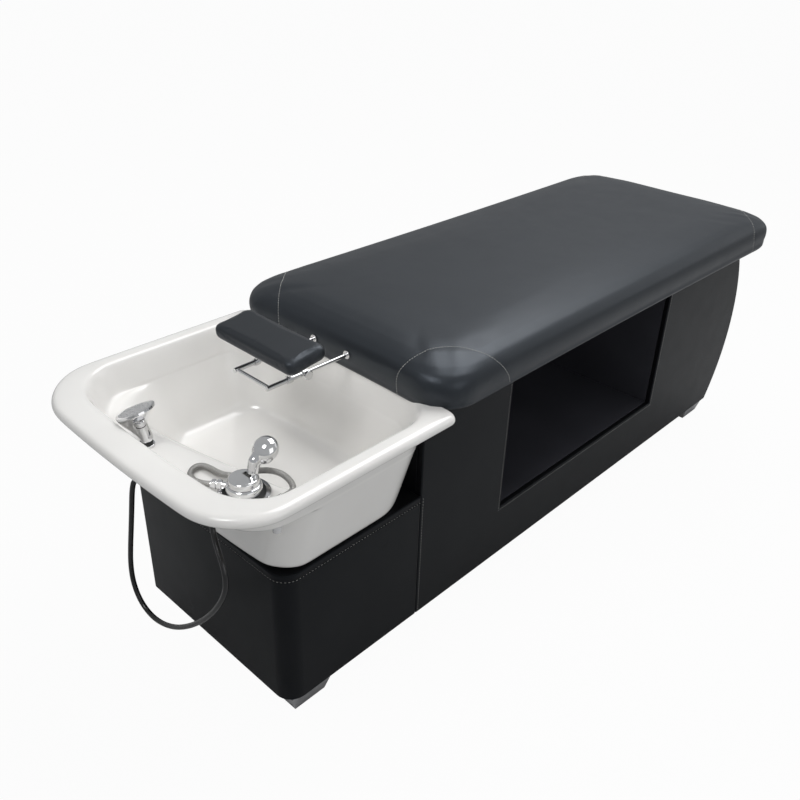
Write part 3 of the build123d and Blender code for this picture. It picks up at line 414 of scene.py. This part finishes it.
# The niche's lining: black laminated board, faintly textured and a little duller than the cover,
# glued between the base's panels. The bulkhead at the step is covered like the base.
laminate_edge = 0.0005
bulkhead_edge = 0.001
laminate = Finish("black_laminate", Specular_IOR_Level=0.3)
laminate.drive("Base Color", laminate.shades(
    laminate.noise(0.2), (0.034, 0.0345, 0.042), (0.044, 0.0445, 0.054)))
laminate.drive("Roughness", laminate.levels(laminate.noise(0.05), 0.46, 0.6))
laminate.drive("Normal", laminate.bump(laminate.noise(0.0009, 2.0), 0.0001, 0.25))
for board in ("niche_floor", "niche_back", "niche_ceiling", "niche_head_partition", "niche_foot_partition"):
    dress(board, "bed", laminate, laminate_edge, 2)
dress("bulkhead_panel", "bed", base_cover, bulkhead_edge, 2)


# The frame inside: birch plywood boards and sawn softwood rails, screwed together and hidden by
# the covered panels and the mattress.
def wood(name, dark, light, ring):
    """Planed wood: stretched grain along the bed, with fine pores."""
    finish = Finish(name)
    along = finish.add("ShaderNodeMapping", {}, {"Vector": finish.place, "Scale": (0.12, 1.0, 1.0)})
    grain = finish.noise(ring, 6.0, along)
    finish.drive("Base Color", finish.shades(grain, dark, light, 0.35, 0.65))
    finish.drive("Roughness", finish.levels(grain, 0.55, 0.75))
    finish.drive("Normal", finish.bump(grain, 0.0003, 0.4))
    return finish


plywood = wood("birch_plywood", (0.42, 0.28, 0.15), (0.62, 0.46, 0.28), 0.02)
timber = wood("softwood", (0.5, 0.33, 0.17), (0.68, 0.5, 0.3), 0.012)
for node, finish in (("base_floor", plywood), ("mattress_board", plywood), ("anchor_block", plywood),
                     ("top_rails", timber), ("cross_rails", timber)):
    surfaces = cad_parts[node].data.materials
    surfaces.clear()
    surfaces.append(finish.material)


# Four feet of satin aluminium, tapered and hollow-cast, on thin black rubber pads. Each is
# bolted up through the base floor.
satin = Finish("satin_aluminium", Metallic=1.0)
brushed = satin.add("ShaderNodeMapping", {}, {"Vector": satin.place, "Scale": (0.15, 0.15, 1.0)})
satin.drive("Base Color", satin.shades(satin.noise(0.03), (0.34, 0.34, 0.35), (0.47, 0.47, 0.48)))
satin.drive("Roughness", satin.levels(satin.noise(0.0015, 3.0, brushed), 0.28, 0.48))
satin.drive("Normal", satin.bump(satin.noise(0.0008, 2.0, brushed), 0.0001, 0.15))
for end in ("head", "end"):
    for side in ("near", "far"):
        dress(f"{side}_{end}_foot", "bed", satin, 0.0025)

rubber = Finish("black_rubber")
rubber.drive("Base Color", rubber.shades(
    rubber.noise(0.02), (0.010, 0.010, 0.010), (0.018, 0.018, 0.018)))
rubber.drive("Roughness", rubber.levels(rubber.noise(0.008), 0.5, 0.7))
rubber.drive("Normal", rubber.bump(rubber.noise(0.0015), 0.0002, 0.3))
for node in ("foot_pads", "basin_seat", "drain_gasket", "mixer_gasket"):
    dress(node, "bed", rubber, 0.0004, 2)
dress("handset_rings", "handset", rubber, 0.0003, 2)

zinc = Finish("zinc_plated_steel", Metallic=1.0)
zinc.drive("Base Color", zinc.shades(zinc.noise(0.004), (0.42, 0.43, 0.44), (0.62, 0.62, 0.62)))
zinc.drive("Roughness", zinc.levels(zinc.noise(0.003), 0.3, 0.5))
dress("foot_bolts", "bed", zinc, 0.0004, 2)


# The mattress: foam in a dark grey leatherette cover, crowned, fullest at mid height and tucked in
# underneath. Each corner is its own panel, sewn in with white thread along a sunken seam.
mattress_front = -0.500
mattress_foot = 0.950
mattress_half = 0.325
mattress_low = 0.6006
mattress_height = 0.0992
mattress_inset = 0.034
mattress_front_corner = 0.085
mattress_foot_corner = 0.064
mattress_corner_growths = (0.8, 2.4)
mattress_droop = 0.012
mattress_draw = 0.004
mattress_voxel = 0.009
mattress_puff = 0.004
mattress_held = 0.012
# Each section: share of the height, how many insets its plan is pulled in, share of the droop
mattress_sections = (
    (0.0, 2.3, 0.0), (0.0, 0.75, 1.0), (0.03, 0.4, 0.9), (0.1, 0.18, 0.8), (0.28, 0.05, 0.5),
    (0.46, 0.0, 0.3), (0.64, 0.1, 0.1), (0.76, 0.34, 0.0), (0.86, 0.74, 0.0), (0.93, 1.35, 0.0),
    (0.97, 2.2, 0.0), (0.99, 3.4, 0.0), (1.0, 5.4, 0.0),
)
corner_steps = 8
side_steps = 14
corner_share = 0.85
foam_pressure = 4.0
puff_frames = 20


def rounded_ring(front, back, half_width, front_corner, back_corner, z, draw):
    """Places round a plan with round corners, its sides drawn in by a little."""
    corners = ((front + front_corner, half_width - front_corner, front_corner, 90),
               (front + front_corner, front_corner - half_width, front_corner, 180),
               (back - back_corner, back_corner - half_width, back_corner, 270),
               (back - back_corner, half_width - back_corner, back_corner, 0))
    outline = []
    for x, y, radius, start in corners:
        for step in range(corner_steps + 1):
            turned = radians(start + 90 * step / corner_steps)
            outline.append(Vector((x + radius * cos(turned), y + radius * sin(turned), z)))
    ring = []
    for index, point in enumerate(outline):
        ring.append(point)
        if index % (corner_steps + 1) == corner_steps:
            following = outline[(index + 1) % len(outline)]
            inward = (Vector(((front + back) / 2, 0, z)) - (point + following) / 2).normalized()
            for step in range(1, side_steps):
                share = step / side_steps
                ring.append(point.lerp(following, share) + inward * draw * 4 * share * (1 - share))
    return ring


def skin_through(rings):
    """A closed skin through rings of places: a circle, extruded from each ring to the next."""
    form = bmesh.new()
    circle = bmesh.ops.create_circle(form, cap_ends=False, segments=len(rings[0]), radius=1.0)
    ring = circle["verts"]
    edges = form.edges[:]
    bmesh.ops.contextual_create(form, geom=edges)
    for number, places in enumerate(rings):
        if number:
            drawn = bmesh.ops.extrude_edge_only(form, edges=edges)["geom"]
            fresh = {part for part in drawn if isinstance(part, bmesh.types.BMVert)}
            edges = [part for part in drawn
                     if isinstance(part, bmesh.types.BMEdge) and fresh.issuperset(part.verts)]
            ring = [edge.other_vert(point) for point in ring for edge in point.link_edges
                    if edge.other_vert(point) in fresh]
        for point, place in zip(ring, places):
            point.co = place
    bmesh.ops.contextual_create(form, geom=edges)
    bmesh.ops.recalc_face_normals(form, faces=form.faces)
    return form


def cushion_form(front, back, half_width, low, height, inset, corners, growths, sections, draw, droop):
    """The foam's closed form, from plans that pull in and round off towards its top and bottom."""
    rings = []
    for rise, pull, sag in sections:
        step = pull * inset
        widest = corner_share * (half_width - step)
        grown = max(0.0, rise + rise - 1) * step
        radii = [min(corner + growth * grown, widest) for corner, growth in zip(corners, growths)]
        z = low + rise * height
        ring = rounded_ring(front + step, back - step, half_width - step, *radii, z, draw)
        for place in ring:
            along = (place.x - front) / (back - front)
            place.z -= sag * droop * along
        rings.append(ring)
    return skin_through(rings)


def remade(piece):
    """Put a piece's modifiers into its mesh."""
    bpy.context.view_layer.update()
    finished = bpy.data.meshes.new_from_object(piece.evaluated_get(bpy.context.evaluated_depsgraph_get()))
    piece.modifiers.clear()
    piece.data = finished


def rounded_off(piece, levels):
    """Smooth a piece's mesh by subdividing it."""
    rounder = piece.modifiers.new("rounder", "SUBSURF")
    rounder.levels = levels
    rounder.render_levels = levels
    remade(piece)
    for face in piece.data.polygons:
        face.use_smooth = True


def puffed(piece, voxel, cap, held_below):
    """Fill a cover with its foam: even its mesh, blow it up as cloth and cap each point's move."""
    remesh = piece.modifiers.new("even_mesh", "REMESH")
    remesh.mode = "VOXEL"
    remesh.voxel_size = voxel
    remesh.use_smooth_shade = True
    remade(piece)
    start = [vertex.co.copy() for vertex in piece.data.vertices]
    held = piece.vertex_groups.new(name="held")
    held.add([vertex.index for vertex in piece.data.vertices if vertex.co.z < held_below], 1.0, "ADD")
    cloth = piece.modifiers.new("cover", "CLOTH")
    cloth.settings.use_pressure = True
    cloth.settings.uniform_pressure_force = foam_pressure
    cloth.settings.effector_weights.gravity = 0.0
    cloth.settings.vertex_group_mass = held.name
    cloth.point_cache.frame_start = 1
    cloth.point_cache.frame_end = puff_frames
    for number in range(1, puff_frames + 1):
        bpy.context.scene.frame_set(number)
    blown = piece.evaluated_get(bpy.context.evaluated_depsgraph_get()).data
    moved = [vertex.co.copy() for vertex in blown.vertices]
    piece.modifiers.clear()
    for vertex, before, after in zip(piece.data.vertices, start, moved):
        move = after - before
        if move.length > cap:
            move *= cap / move.length
        vertex.co = before + move
    bpy.context.scene.frame_set(1)


def sink_seams(mesh, seams, width, depth):
    """Draw the cover in along its seams."""
    points = [point for seam in seams for point in seam]
    near = KDTree(len(points))
    for index, point in enumerate(points):
        near.insert(point, index)
    near.balance()
    for vertex in mesh.vertices:
        distance = near.find(vertex.co)[2]
        if distance < width:
            share = 1 - (distance / width) ** 2
            vertex.co -= vertex.normal * depth * share * share


def skin_of(mesh):
    """A mesh's surface, to lay seams on."""
    mesh.calc_loop_triangles()
    return BVHTree.FromPolygons([vertex.co for vertex in mesh.vertices],
                                [tuple(triangle.vertices) for triangle in mesh.loop_triangles])


def on_skin(skin, places, lift):
    """Move places on to a surface, a little above it, directions kept along it."""
    laid = []
    for place, direction in places:
        point, normal, _, _ = skin.find_nearest(place)
        laid.append((point + normal * lift, (direction - normal * direction.dot(normal)).normalized()))
    return laid


mattress_cover = leatherette("mattress_leatherette", (0.0095, 0.0108, 0.0128), (0.0135, 0.0152, 0.0176),
                             rough=0.36, grain=0.0018, depth=0.0002, sheen=0.56)
mattress_form = cushion_form(
    mattress_front, mattress_foot, mattress_half, mattress_low, mattress_height, mattress_inset,
    (mattress_front_corner, mattress_foot_corner), mattress_corner_growths, mattress_sections,
    mattress_draw, mattress_droop)
mattress = show("mattress_cover", mesh_from(mattress_form, "mattress_cover", mattress_cover))
puffed(mattress, mattress_voxel, mattress_puff, mattress_low + mattress_held)

seam_width = 0.006
seam_depth = 0.0009
seam_step = 0.002
cover_stitch_pitch = 0.006
cover_stitch_length = 0.0042
cover_stitch_radius = 0.0007
cover_stitch_lift = 0.0002
head_seam = [
    (-0.490, -0.188, 0.604), (-0.496, -0.189, 0.632), (-0.497, -0.191, 0.653),
    (-0.493, -0.195, 0.668), (-0.481, -0.201, 0.681), (-0.460, -0.206, 0.691),
    (-0.440, -0.211, 0.695), (-0.418, -0.220, 0.696), (-0.394, -0.236, 0.697),
    (-0.374, -0.257, 0.696), (-0.357, -0.281, 0.694), (-0.346, -0.300, 0.687),
    (-0.334, -0.317, 0.672), (-0.317, -0.324, 0.649), (-0.298, -0.321, 0.621),
    (-0.295, -0.314, 0.611),
]
far_head_seam = [
    (-0.488, 0.163, 0.604), (-0.495, 0.164, 0.632), (-0.496, 0.167, 0.659),
    (-0.490, 0.174, 0.674), (-0.478, 0.185, 0.685), (-0.456, 0.206, 0.692),
    (-0.432, 0.228, 0.694), (-0.402, 0.254, 0.693), (-0.374, 0.282, 0.689),
    (-0.352, 0.305, 0.678), (-0.336, 0.320, 0.655), (-0.320, 0.322, 0.630),
    (-0.312, 0.316, 0.611),
]
foot_seam = [
    (0.943, -0.190, 0.600), (0.952, -0.192, 0.640), (0.938, -0.205, 0.676),
    (0.908, -0.226, 0.692), (0.872, -0.258, 0.695), (0.842, -0.286, 0.690),
    (0.820, -0.310, 0.676), (0.812, -0.325, 0.655), (0.820, -0.325, 0.630),
    (0.830, -0.319, 0.606),
]
far_foot_seam = [(x, -y, z) for x, y, z in foot_seam]
mattress_skin = skin_of(mattress.data)
seam_lines = []
for seam in (head_seam, far_head_seam, foot_seam, far_foot_seam):
    drawn = line_points(smooth_line("seam", seam))
    laid = on_skin(mattress_skin, spaced(drawn, seam_step), 0.0)
    seam_lines.append([place for place, _ in laid])
sink_seams(mattress.data, seam_lines, seam_width, seam_depth)
rounded_off(mattress, 1)
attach(mattress, "bed")
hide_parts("mattress")

mattress_skin = skin_of(mattress.data)
for number, line in enumerate(seam_lines):
    places = on_skin(mattress_skin, spaced(line, cover_stitch_pitch), cover_stitch_lift)
    stitch_row(f"mattress_stitches_{number}", places, cover_stitch_length, cover_stitch_radius, "bed")


# The basin: one white glazed casting. A thick rolled rim runs round it, a shallow deck for the
# taps lies at its outer end, and the deep bowl falls away behind the deck. It sits on a rubber ring.
glaze = Finish("white_glaze", Coat_Weight=0.5, Coat_Roughness=0.04)
glaze.drive("Base Color", glaze.shades(glaze.noise(0.25), (0.81, 0.795, 0.77), (0.86, 0.845, 0.82)))
glaze.drive("Roughness", glaze.levels(glaze.noise(0.08), 0.1, 0.2))
glaze.drive("Normal", glaze.bump(glaze.noise(0.05, 2.0), 0.0004, 0.06))

basin_bow = 0.013
basin_front_blend = 0.02
basin_far_corner_share = 1.2
basin_corner_steps = 8
basin_front_steps = 10
basin_side_steps = 8
# Each ring: far front x, near front x, back x, half width, front corner, back corner, front z, side z
basin_rings = (
    (-0.808, -0.808, -0.536, 0.216, 0.048, 0.064, 0.3840, 0.3840),
    (-0.839, -0.839, -0.510, 0.243, 0.062, 0.080, 0.3865, 0.3865),
    (-0.848, -0.848, -0.500, 0.253, 0.068, 0.088, 0.3980, 0.3980),
    (-0.849, -0.849, -0.497, 0.258, 0.070, 0.088, 0.4150, 0.4150),
    (-0.850, -0.850, -0.481, 0.283, 0.080, 0.088, 0.5350, 0.5300),
    (-0.854, -0.854, -0.478, 0.286, 0.086, 0.088, 0.5400, 0.5400),
    (-0.930, -0.930, -0.478, 0.2865, 0.078, 0.088, 0.5405, 0.5450),
    (-0.940, -0.940, -0.477, 0.288, 0.086, 0.088, 0.5460, 0.5500),
    (-0.947, -0.947, -0.476, 0.299, 0.112, 0.088, 0.5860, 0.5860),
    (-0.956, -0.956, -0.475, 0.304, 0.114, 0.070, 0.5915, 0.5915),
    (-0.991, -0.991, -0.472, 0.319, 0.117, 0.020, 0.5922, 0.5922),
    (-0.998, -0.998, -0.4685, 0.326, 0.118, 0.016, 0.5955, 0.5955),
    (-1.000, -1.000, -0.467, 0.328, 0.118, 0.014, 0.6010, 0.6010),
    (-0.999, -0.999, -0.4675, 0.327, 0.118, 0.014, 0.6080, 0.6080),
    (-0.994, -0.994, -0.4695, 0.322, 0.114, 0.013, 0.6140, 0.6140),
    (-0.984, -0.984, -0.4715, 0.314, 0.110, 0.020, 0.6160, 0.6160),
    (-0.948, -0.948, -0.4755, 0.297, 0.098, 0.070, 0.6160, 0.6160),
    (-0.939, -0.939, -0.4790, 0.291, 0.094, 0.086, 0.6142, 0.6142),
    (-0.934, -0.934, -0.4815, 0.286, 0.092, 0.092, 0.6080, 0.6080),
    (-0.921, -0.921, -0.4920, 0.271, 0.092, 0.092, 0.5660, 0.5640),
    (-0.916, -0.916, -0.4935, 0.269, 0.092, 0.092, 0.5580, 0.5580),
    (-0.906, -0.906, -0.4945, 0.2685, 0.092, 0.092, 0.5560, 0.5540),
    (-0.886, -0.824, -0.4955, 0.267, 0.092, 0.092, 0.5560, 0.5505),
    (-0.870, -0.809, -0.4965, 0.266, 0.092, 0.092, 0.5535, 0.5480),
    (-0.858, -0.801, -0.4985, 0.264, 0.092, 0.092, 0.5460, 0.5420),
    (-0.849, -0.797, -0.5015, 0.260, 0.092, 0.092, 0.5330, 0.5310),
    (-0.808, -0.795, -0.5215, 0.233, 0.078, 0.078, 0.4620, 0.4620),
    (-0.800, -0.792, -0.5270, 0.226, 0.074, 0.074, 0.4430, 0.4430),
    (-0.789, -0.784, -0.5370, 0.216, 0.070, 0.070, 0.4300, 0.4300),
    (-0.770, -0.768, -0.5550, 0.198, 0.060, 0.060, 0.4252, 0.4252),
    (-0.730, -0.730, -0.5900, 0.160, 0.045, 0.045, 0.4250, 0.4250),
    (-0.690, -0.690, -0.6300, 0.080, 0.020, 0.020, 0.4250, 0.4250),
)


def basin_ring(front_far, front_near, back, half_width, front_corner, back_corner, front_z, side_z):
    """One ring of the basin, its front slanted, bowed out and at its own height."""
    far_corner = front_corner * basin_far_corner_share
    corners = ((front_near + front_corner, front_corner - half_width, front_corner, 180),
               (back - back_corner, back_corner - half_width, back_corner, 270),
               (back - back_corner, half_width - back_corner, back_corner, 0),
               (front_far + far_corner, half_width - far_corner, far_corner, 90))
    counts = (basin_side_steps, basin_side_steps, basin_side_steps, basin_front_steps)
    arcs = []
    for x, y, radius, start in corners:
        turns = [radians(start + 90 * step / basin_corner_steps) for step in range(basin_corner_steps + 1)]
        arcs.append([Vector((x + radius * cos(turned), y + radius * sin(turned), 0)) for turned in turns])
    ring = []
    for number, arc in enumerate(arcs):
        ring.extend(arc)
        following = arcs[(number + 1) % len(arcs)][0]
        for step in range(1, counts[number]):
            ring.append(arc[-1].lerp(following, step / counts[number]))
    middle_front = (front_far + front_near) / 2
    reach = front_corner + basin_front_blend
    for point in ring:
        to_front = max(0.0, min(1.0, (middle_front + reach - point.x) / reach))
        to_front = to_front * to_front * (3 - 2 * to_front)
        point.x += basin_bow * to_front * (point.y / half_width) ** 2
        point.z = side_z + (front_z - side_z) * to_front
    return ring


basin_form = skin_through([basin_ring(*ring) for ring in basin_rings])
basin = show("basin_casting", mesh_from(basin_form, "basin_casting", glaze))
rounded_off(basin, 2)

drain_sides = 64
# Each hole, the flange's recess and the drain itself: radius, length, middle above the flange's top
drain_holes = ((0.0354, 0.03, 0.012), (0.026, 0.2, -0.08))
drain_low, drain_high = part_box("drain_flange")
drain_middle = (drain_low + drain_high) / 2
holes_form = bmesh.new()
for radius, length, rise in drain_holes:
    hole_place = Matrix.Translation((drain_middle.x, drain_middle.y, drain_high.z + rise))
    bmesh.ops.create_cone(holes_form, cap_ends=True, segments=drain_sides, radius1=radius, radius2=radius,
                          depth=length, matrix=hole_place)
holes = show("drain_holes", mesh_from(holes_form, "drain_holes", glaze))
opened = basin.modifiers.new("drain_opening", "BOOLEAN")
opened.operation = "DIFFERENCE"
opened.object = holes
opened.use_self = True
remade(basin)
bpy.data.objects.remove(holes)
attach(basin, "bed")
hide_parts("basin")


# Chrome fittings on the deck and in the bowl: cast or turned brass, plated and polished, held by
# nuts under the deck and the bowl. Their edges are eased as polishing leaves them.
chrome = Finish("chrome", Metallic=1.0)
chrome.drive("Base Color", chrome.shades(chrome.noise(0.05), (0.70, 0.70, 0.71), (0.78, 0.78, 0.78)))
chrome.drive("Roughness", chrome.levels(chrome.noise(0.02), 0.05, 0.13))
chrome.drive("Normal", chrome.bump(chrome.noise(0.012, 2.0), 0.0001, 0.05))
for node, edge in (("escutcheon", 0.0012), ("mixer_body", 0.0008), ("outlet_elbow", 0.0005),
                   ("supply_ferrule", 0.0005), ("supply_hose_nuts", 0.0004), ("handset_holder", 0.001),
                   ("drain_flange", 0.0006)):
    dress(node, "bed", chrome, edge)
dress("strainer", "strainer", chrome, 0.0004, 2)
dress("lever_hub", "lever_hub", chrome, 0.0006)


# The mixer's lever: one chromed casting, a flattened ball on a bent neck that widens into it. Its
# boss is pinned in the slot of the hub.
lever_pin = Vector((-0.838, -0.182, 0.5869))
lever_ball = Vector((-0.807, -0.182, 0.6235))
lever_elbow = Vector((-0.8305, -0.182, 0.6110))
lever_low_radius = 0.0096
lever_elbow_radius = 0.0112
lever_high_radius = 0.0170
lever_ball_half = (0.0255, 0.0250, 0.0205)
lever_ball_tilt = radians(-42.0)
lever_boss_radius = 0.007
lever_boss_length = 0.0192
lever_sides = 48
lever_voxel = 0.0009
lever_polish = 14

lever_form = bmesh.new()
ball_shape = (Matrix.Translation(lever_ball) @ Matrix.Rotation(lever_ball_tilt, 4, "Y")
              @ Matrix.Diagonal((*lever_ball_half, 1.0)))
bmesh.ops.create_uvsphere(lever_form, u_segments=lever_sides, v_segments=32, radius=1.0, matrix=ball_shape)
for start, end, first, last in ((lever_pin, lever_elbow, lever_low_radius, lever_elbow_radius),
                                (lever_elbow, lever_ball, lever_elbow_radius, lever_high_radius)):
    lie = (end - start).to_track_quat("Z", "Y").to_matrix().to_4x4()
    bmesh.ops.create_cone(lever_form, cap_ends=True, segments=lever_sides, radius1=first, radius2=last,
                          depth=(end - start).length, matrix=Matrix.Translation((start + end) / 2) @ lie)
bmesh.ops.create_uvsphere(lever_form, u_segments=32, v_segments=24, radius=lever_elbow_radius,
                          matrix=Matrix.Translation(lever_elbow))
boss_lie = Matrix.Translation(lever_pin) @ Matrix.Rotation(radians(90.0), 4, "X")
bmesh.ops.create_cone(lever_form, cap_ends=True, segments=lever_sides, radius1=lever_boss_radius,
                      radius2=lever_boss_radius, depth=lever_boss_length, matrix=boss_lie)
lever = show("lever_casting", mesh_from(lever_form, "lever_casting", chrome))
merged = lever.modifiers.new("one_casting", "REMESH")
merged.mode = "VOXEL"
merged.voxel_size = lever_voxel
merged.use_smooth_shade = True
polish = lever.modifiers.new("polish", "SMOOTH")
polish.factor = 0.5
polish.iterations = lever_polish
remade(lever)
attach(lever, "lever")
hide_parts("lever")


# The handset: chromed body, collar and hose nut, with a grey plastic spray face clipped in. The
# mixer's plastic cartridge and the brass nuts under the deck are hidden.
for node in ("handset_body", "handset_collar", "handset_hose_nut"):
    dress(node, "handset", chrome, 0.0005)

spray_plastic = Finish("spray_plastic")
spray_plastic.drive("Base Color", spray_plastic.shades(
    spray_plastic.noise(0.01), (0.34, 0.34, 0.345), (0.42, 0.42, 0.425)))
spray_plastic.drive("Roughness", spray_plastic.levels(spray_plastic.noise(0.004), 0.35, 0.5))
dress("spray_face", "handset", spray_plastic, 0.0003, 2)

cartridge_plastic = Finish("cartridge_plastic", Roughness=0.5)
cartridge_plastic.drive("Base Color", cartridge_plastic.shades(
    cartridge_plastic.noise(0.01), (0.42, 0.42, 0.40), (0.5, 0.5, 0.48)))
dress("mixer_cartridge", "bed", cartridge_plastic, 0.0004, 2)

brass = Finish("plain_brass", Metallic=1.0)
brass.drive("Base Color", brass.shades(brass.noise(0.01), (0.5, 0.33, 0.12), (0.66, 0.46, 0.2)))
brass.drive("Roughness", brass.levels(brass.noise(0.006), 0.28, 0.45))
dress("deck_backnuts", "bed", brass, 0.0005, 2)


# The waste under the bowl: white moulded plastic nut, tailpiece, bottle trap and pipe, screwed to
# the drain flange and led out through the base floor.
waste_plastic = Finish("waste_plastic")
waste_plastic.drive("Base Color", waste_plastic.shades(
    waste_plastic.noise(0.04), (0.62, 0.62, 0.6), (0.7, 0.7, 0.68)))
waste_plastic.drive("Roughness", waste_plastic.levels(waste_plastic.noise(0.01), 0.32, 0.48))
for node in ("drain_nut", "tailpiece", "trap_body", "trap_cup", "waste_pipe"):
    dress(node, "bed", waste_plastic, 0.0006, 2)


# The headrest: two polished steel rods out of the mattress, and a frame of closed tubes that slides
# on them, with a thumb knob in the outer side of each tube to clamp it. Posts clamped on the frame
# carry the neck pad's plate.
polished = Finish("polished_steel", Metallic=1.0)
polished.drive("Base Color", polished.shades(polished.noise(0.03), (0.62, 0.62, 0.63), (0.72, 0.72, 0.72)))
polished.drive("Roughness", polished.levels(polished.noise(0.01), 0.08, 0.18))
polished.drive("Normal", polished.bump(polished.noise(0.004, 2.0), 0.00005, 0.1))
dress("headrest_rods", "bed", polished, 0.0004)
dress("rod_flanges", "bed", polished, 0.0005)
dress("slide_frame", "headrest", polished, 0.0004)
dress("pad_posts", "headrest", polished, 0.0004)
dress("near_knob", "near_knob", polished, 0.0004)
dress("far_knob", "far_knob", polished, 0.0004)

painted = Finish("black_paint")
painted.drive("Base Color", painted.shades(
    painted.noise(0.03), (0.010, 0.010, 0.011), (0.016, 0.016, 0.017)))
painted.drive("Roughness", painted.levels(painted.noise(0.006), 0.38, 0.52))
dress("pad_plate", "headrest", painted, 0.0005, 2)


# The neck pad: moulded foam under black leatherette, with soft round edges, tilted a few degrees.
# It is screwed on to the plate on the posts.
pad_half_depth = 0.046
pad_half_length = 0.117
pad_thickness = 0.030
pad_inset = 0.008
pad_corner = 0.014
pad_corner_growth = 0.4
pad_draw = 0.001
pad_voxel = 0.0025
pad_puff = 0.0012
pad_held = 0.003
pad_middle = (-0.648, 0.0, 0.7095)
pad_tilt = radians(-7.0)
pad_sections = (
    (0.0, 1.0, 0.0), (0.05, 0.55, 0.0), (0.15, 0.2, 0.0), (0.35, 0.0, 0.0), (0.68, 0.0, 0.0),
    (0.82, 0.12, 0.0), (0.92, 0.4, 0.0), (0.98, 0.85, 0.0), (1.0, 1.5, 0.0),
)

pad_cover = leatherette("pad_leatherette", (0.0080, 0.0085, 0.0092), (0.0115, 0.0120, 0.0130),
                        rough=0.4, grain=0.0016, depth=0.0002, sheen=0.62)
pad_form = cushion_form(
    -pad_half_depth, pad_half_depth, pad_half_length, -pad_thickness / 2, pad_thickness, pad_inset,
    (pad_corner, pad_corner), (pad_corner_growth, pad_corner_growth), pad_sections, pad_draw, 0.0)
pad = show("neck_pad", mesh_from(pad_form, "neck_pad", pad_cover))
puffed(pad, pad_voxel, pad_puff, -pad_thickness / 2 + pad_held)
pad.data.transform(Matrix.Translation(pad_middle) @ Matrix.Rotation(pad_tilt, 4, "Y"))
rounded_off(pad, 1)
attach(pad, "headrest")
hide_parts("headrest_pad")


# The studio: a pale floor that keeps a soft shadow and a white surround, both whitened for the
# camera, and large soft lamps.
floor_grey = 0.58
floor_white = 0.96
floor_size = 60.0
surround_color = (0.96, 0.98, 1.0, 1.0)
surround_strength = 0.44


def backdrop(tree, shader, output, white_kind, amount):
    """Mix a shader with plain white, for the camera's own rays only."""
    rays = tree.nodes.new("ShaderNodeLightPath")
    share = tree.nodes.new("ShaderNodeMath")
    share.operation = "MULTIPLY"
    share.inputs[1].default_value = amount
    tree.links.new(rays.outputs["Is Camera Ray"], share.inputs[0])
    white = tree.nodes.new(white_kind)
    white.inputs["Color"].default_value = (1.0, 1.0, 1.0, 1.0)
    mixed = tree.nodes.new("ShaderNodeMixShader")
    tree.links.new(share.outputs[0], mixed.inputs["Fac"])
    tree.links.new(shader.outputs[0], mixed.inputs[1])
    tree.links.new(white.outputs[0], mixed.inputs[2])
    tree.links.new(mixed.outputs[0], output.inputs["Surface"])


floor_finish = Finish("pale_floor", Roughness=0.9)
floor_finish.shader.inputs["Base Color"].default_value = (floor_grey, floor_grey, floor_grey, 1.0)
floor_output = floor_finish.tree.nodes["Material Output"]
backdrop(floor_finish.tree, floor_finish.shader, floor_output, "ShaderNodeEmission", floor_white)
floor_form = bmesh.new()
bmesh.ops.create_grid(floor_form, x_segments=1, y_segments=1, size=floor_size)
studio_floor = show("studio_floor", mesh_from(floor_form, "studio_floor", floor_finish))

world = bpy.data.worlds.new("studio")
world.use_nodes = True
bpy.context.scene.world = world
surround = world.node_tree.nodes["Background"]
surround.inputs["Color"].default_value = surround_color
surround.inputs["Strength"].default_value = surround_strength
backdrop(world.node_tree, surround, world.node_tree.nodes["World Output"], "ShaderNodeBackground", 1.0)

# Each lamp: name, place, what it aims at, side in metres, watts, spread in degrees
for name, place, aim, size, power, spread in (
    ("overhead", (1.3, 0.0, 3.2), (0.1, 0.0, 0.5), 2.2, 62.0, 180.0),
    ("near_side", (-0.6, -3.2, 1.9), (-0.1, 0.0, 0.4), 2.2, 14.0, 180.0),
    ("basin_end", (-1.9, -0.2, 2.6), (-0.6, 0.0, 0.5), 0.8, 0.95, 35.0),
    ("foot_end", (3.2, -1.7, 1.7), (0.1, -0.2, 0.6), 2.0, 5.0, 180.0),
):
    lamp = bpy.data.lights.new(name, "AREA")
    lamp.shape = "SQUARE"
    lamp.size = size
    lamp.energy = power
    lamp.spread = radians(spread)
    stand = bpy.data.objects.new(name, lamp)
    stand.location = place
    stand.rotation_euler = (Vector(aim) - Vector(place)).to_track_quat("-Z", "Y").to_euler()
    bpy.context.scene.collection.objects.link(stand)

bpy.context.scene.view_settings.view_transform = "Standard"
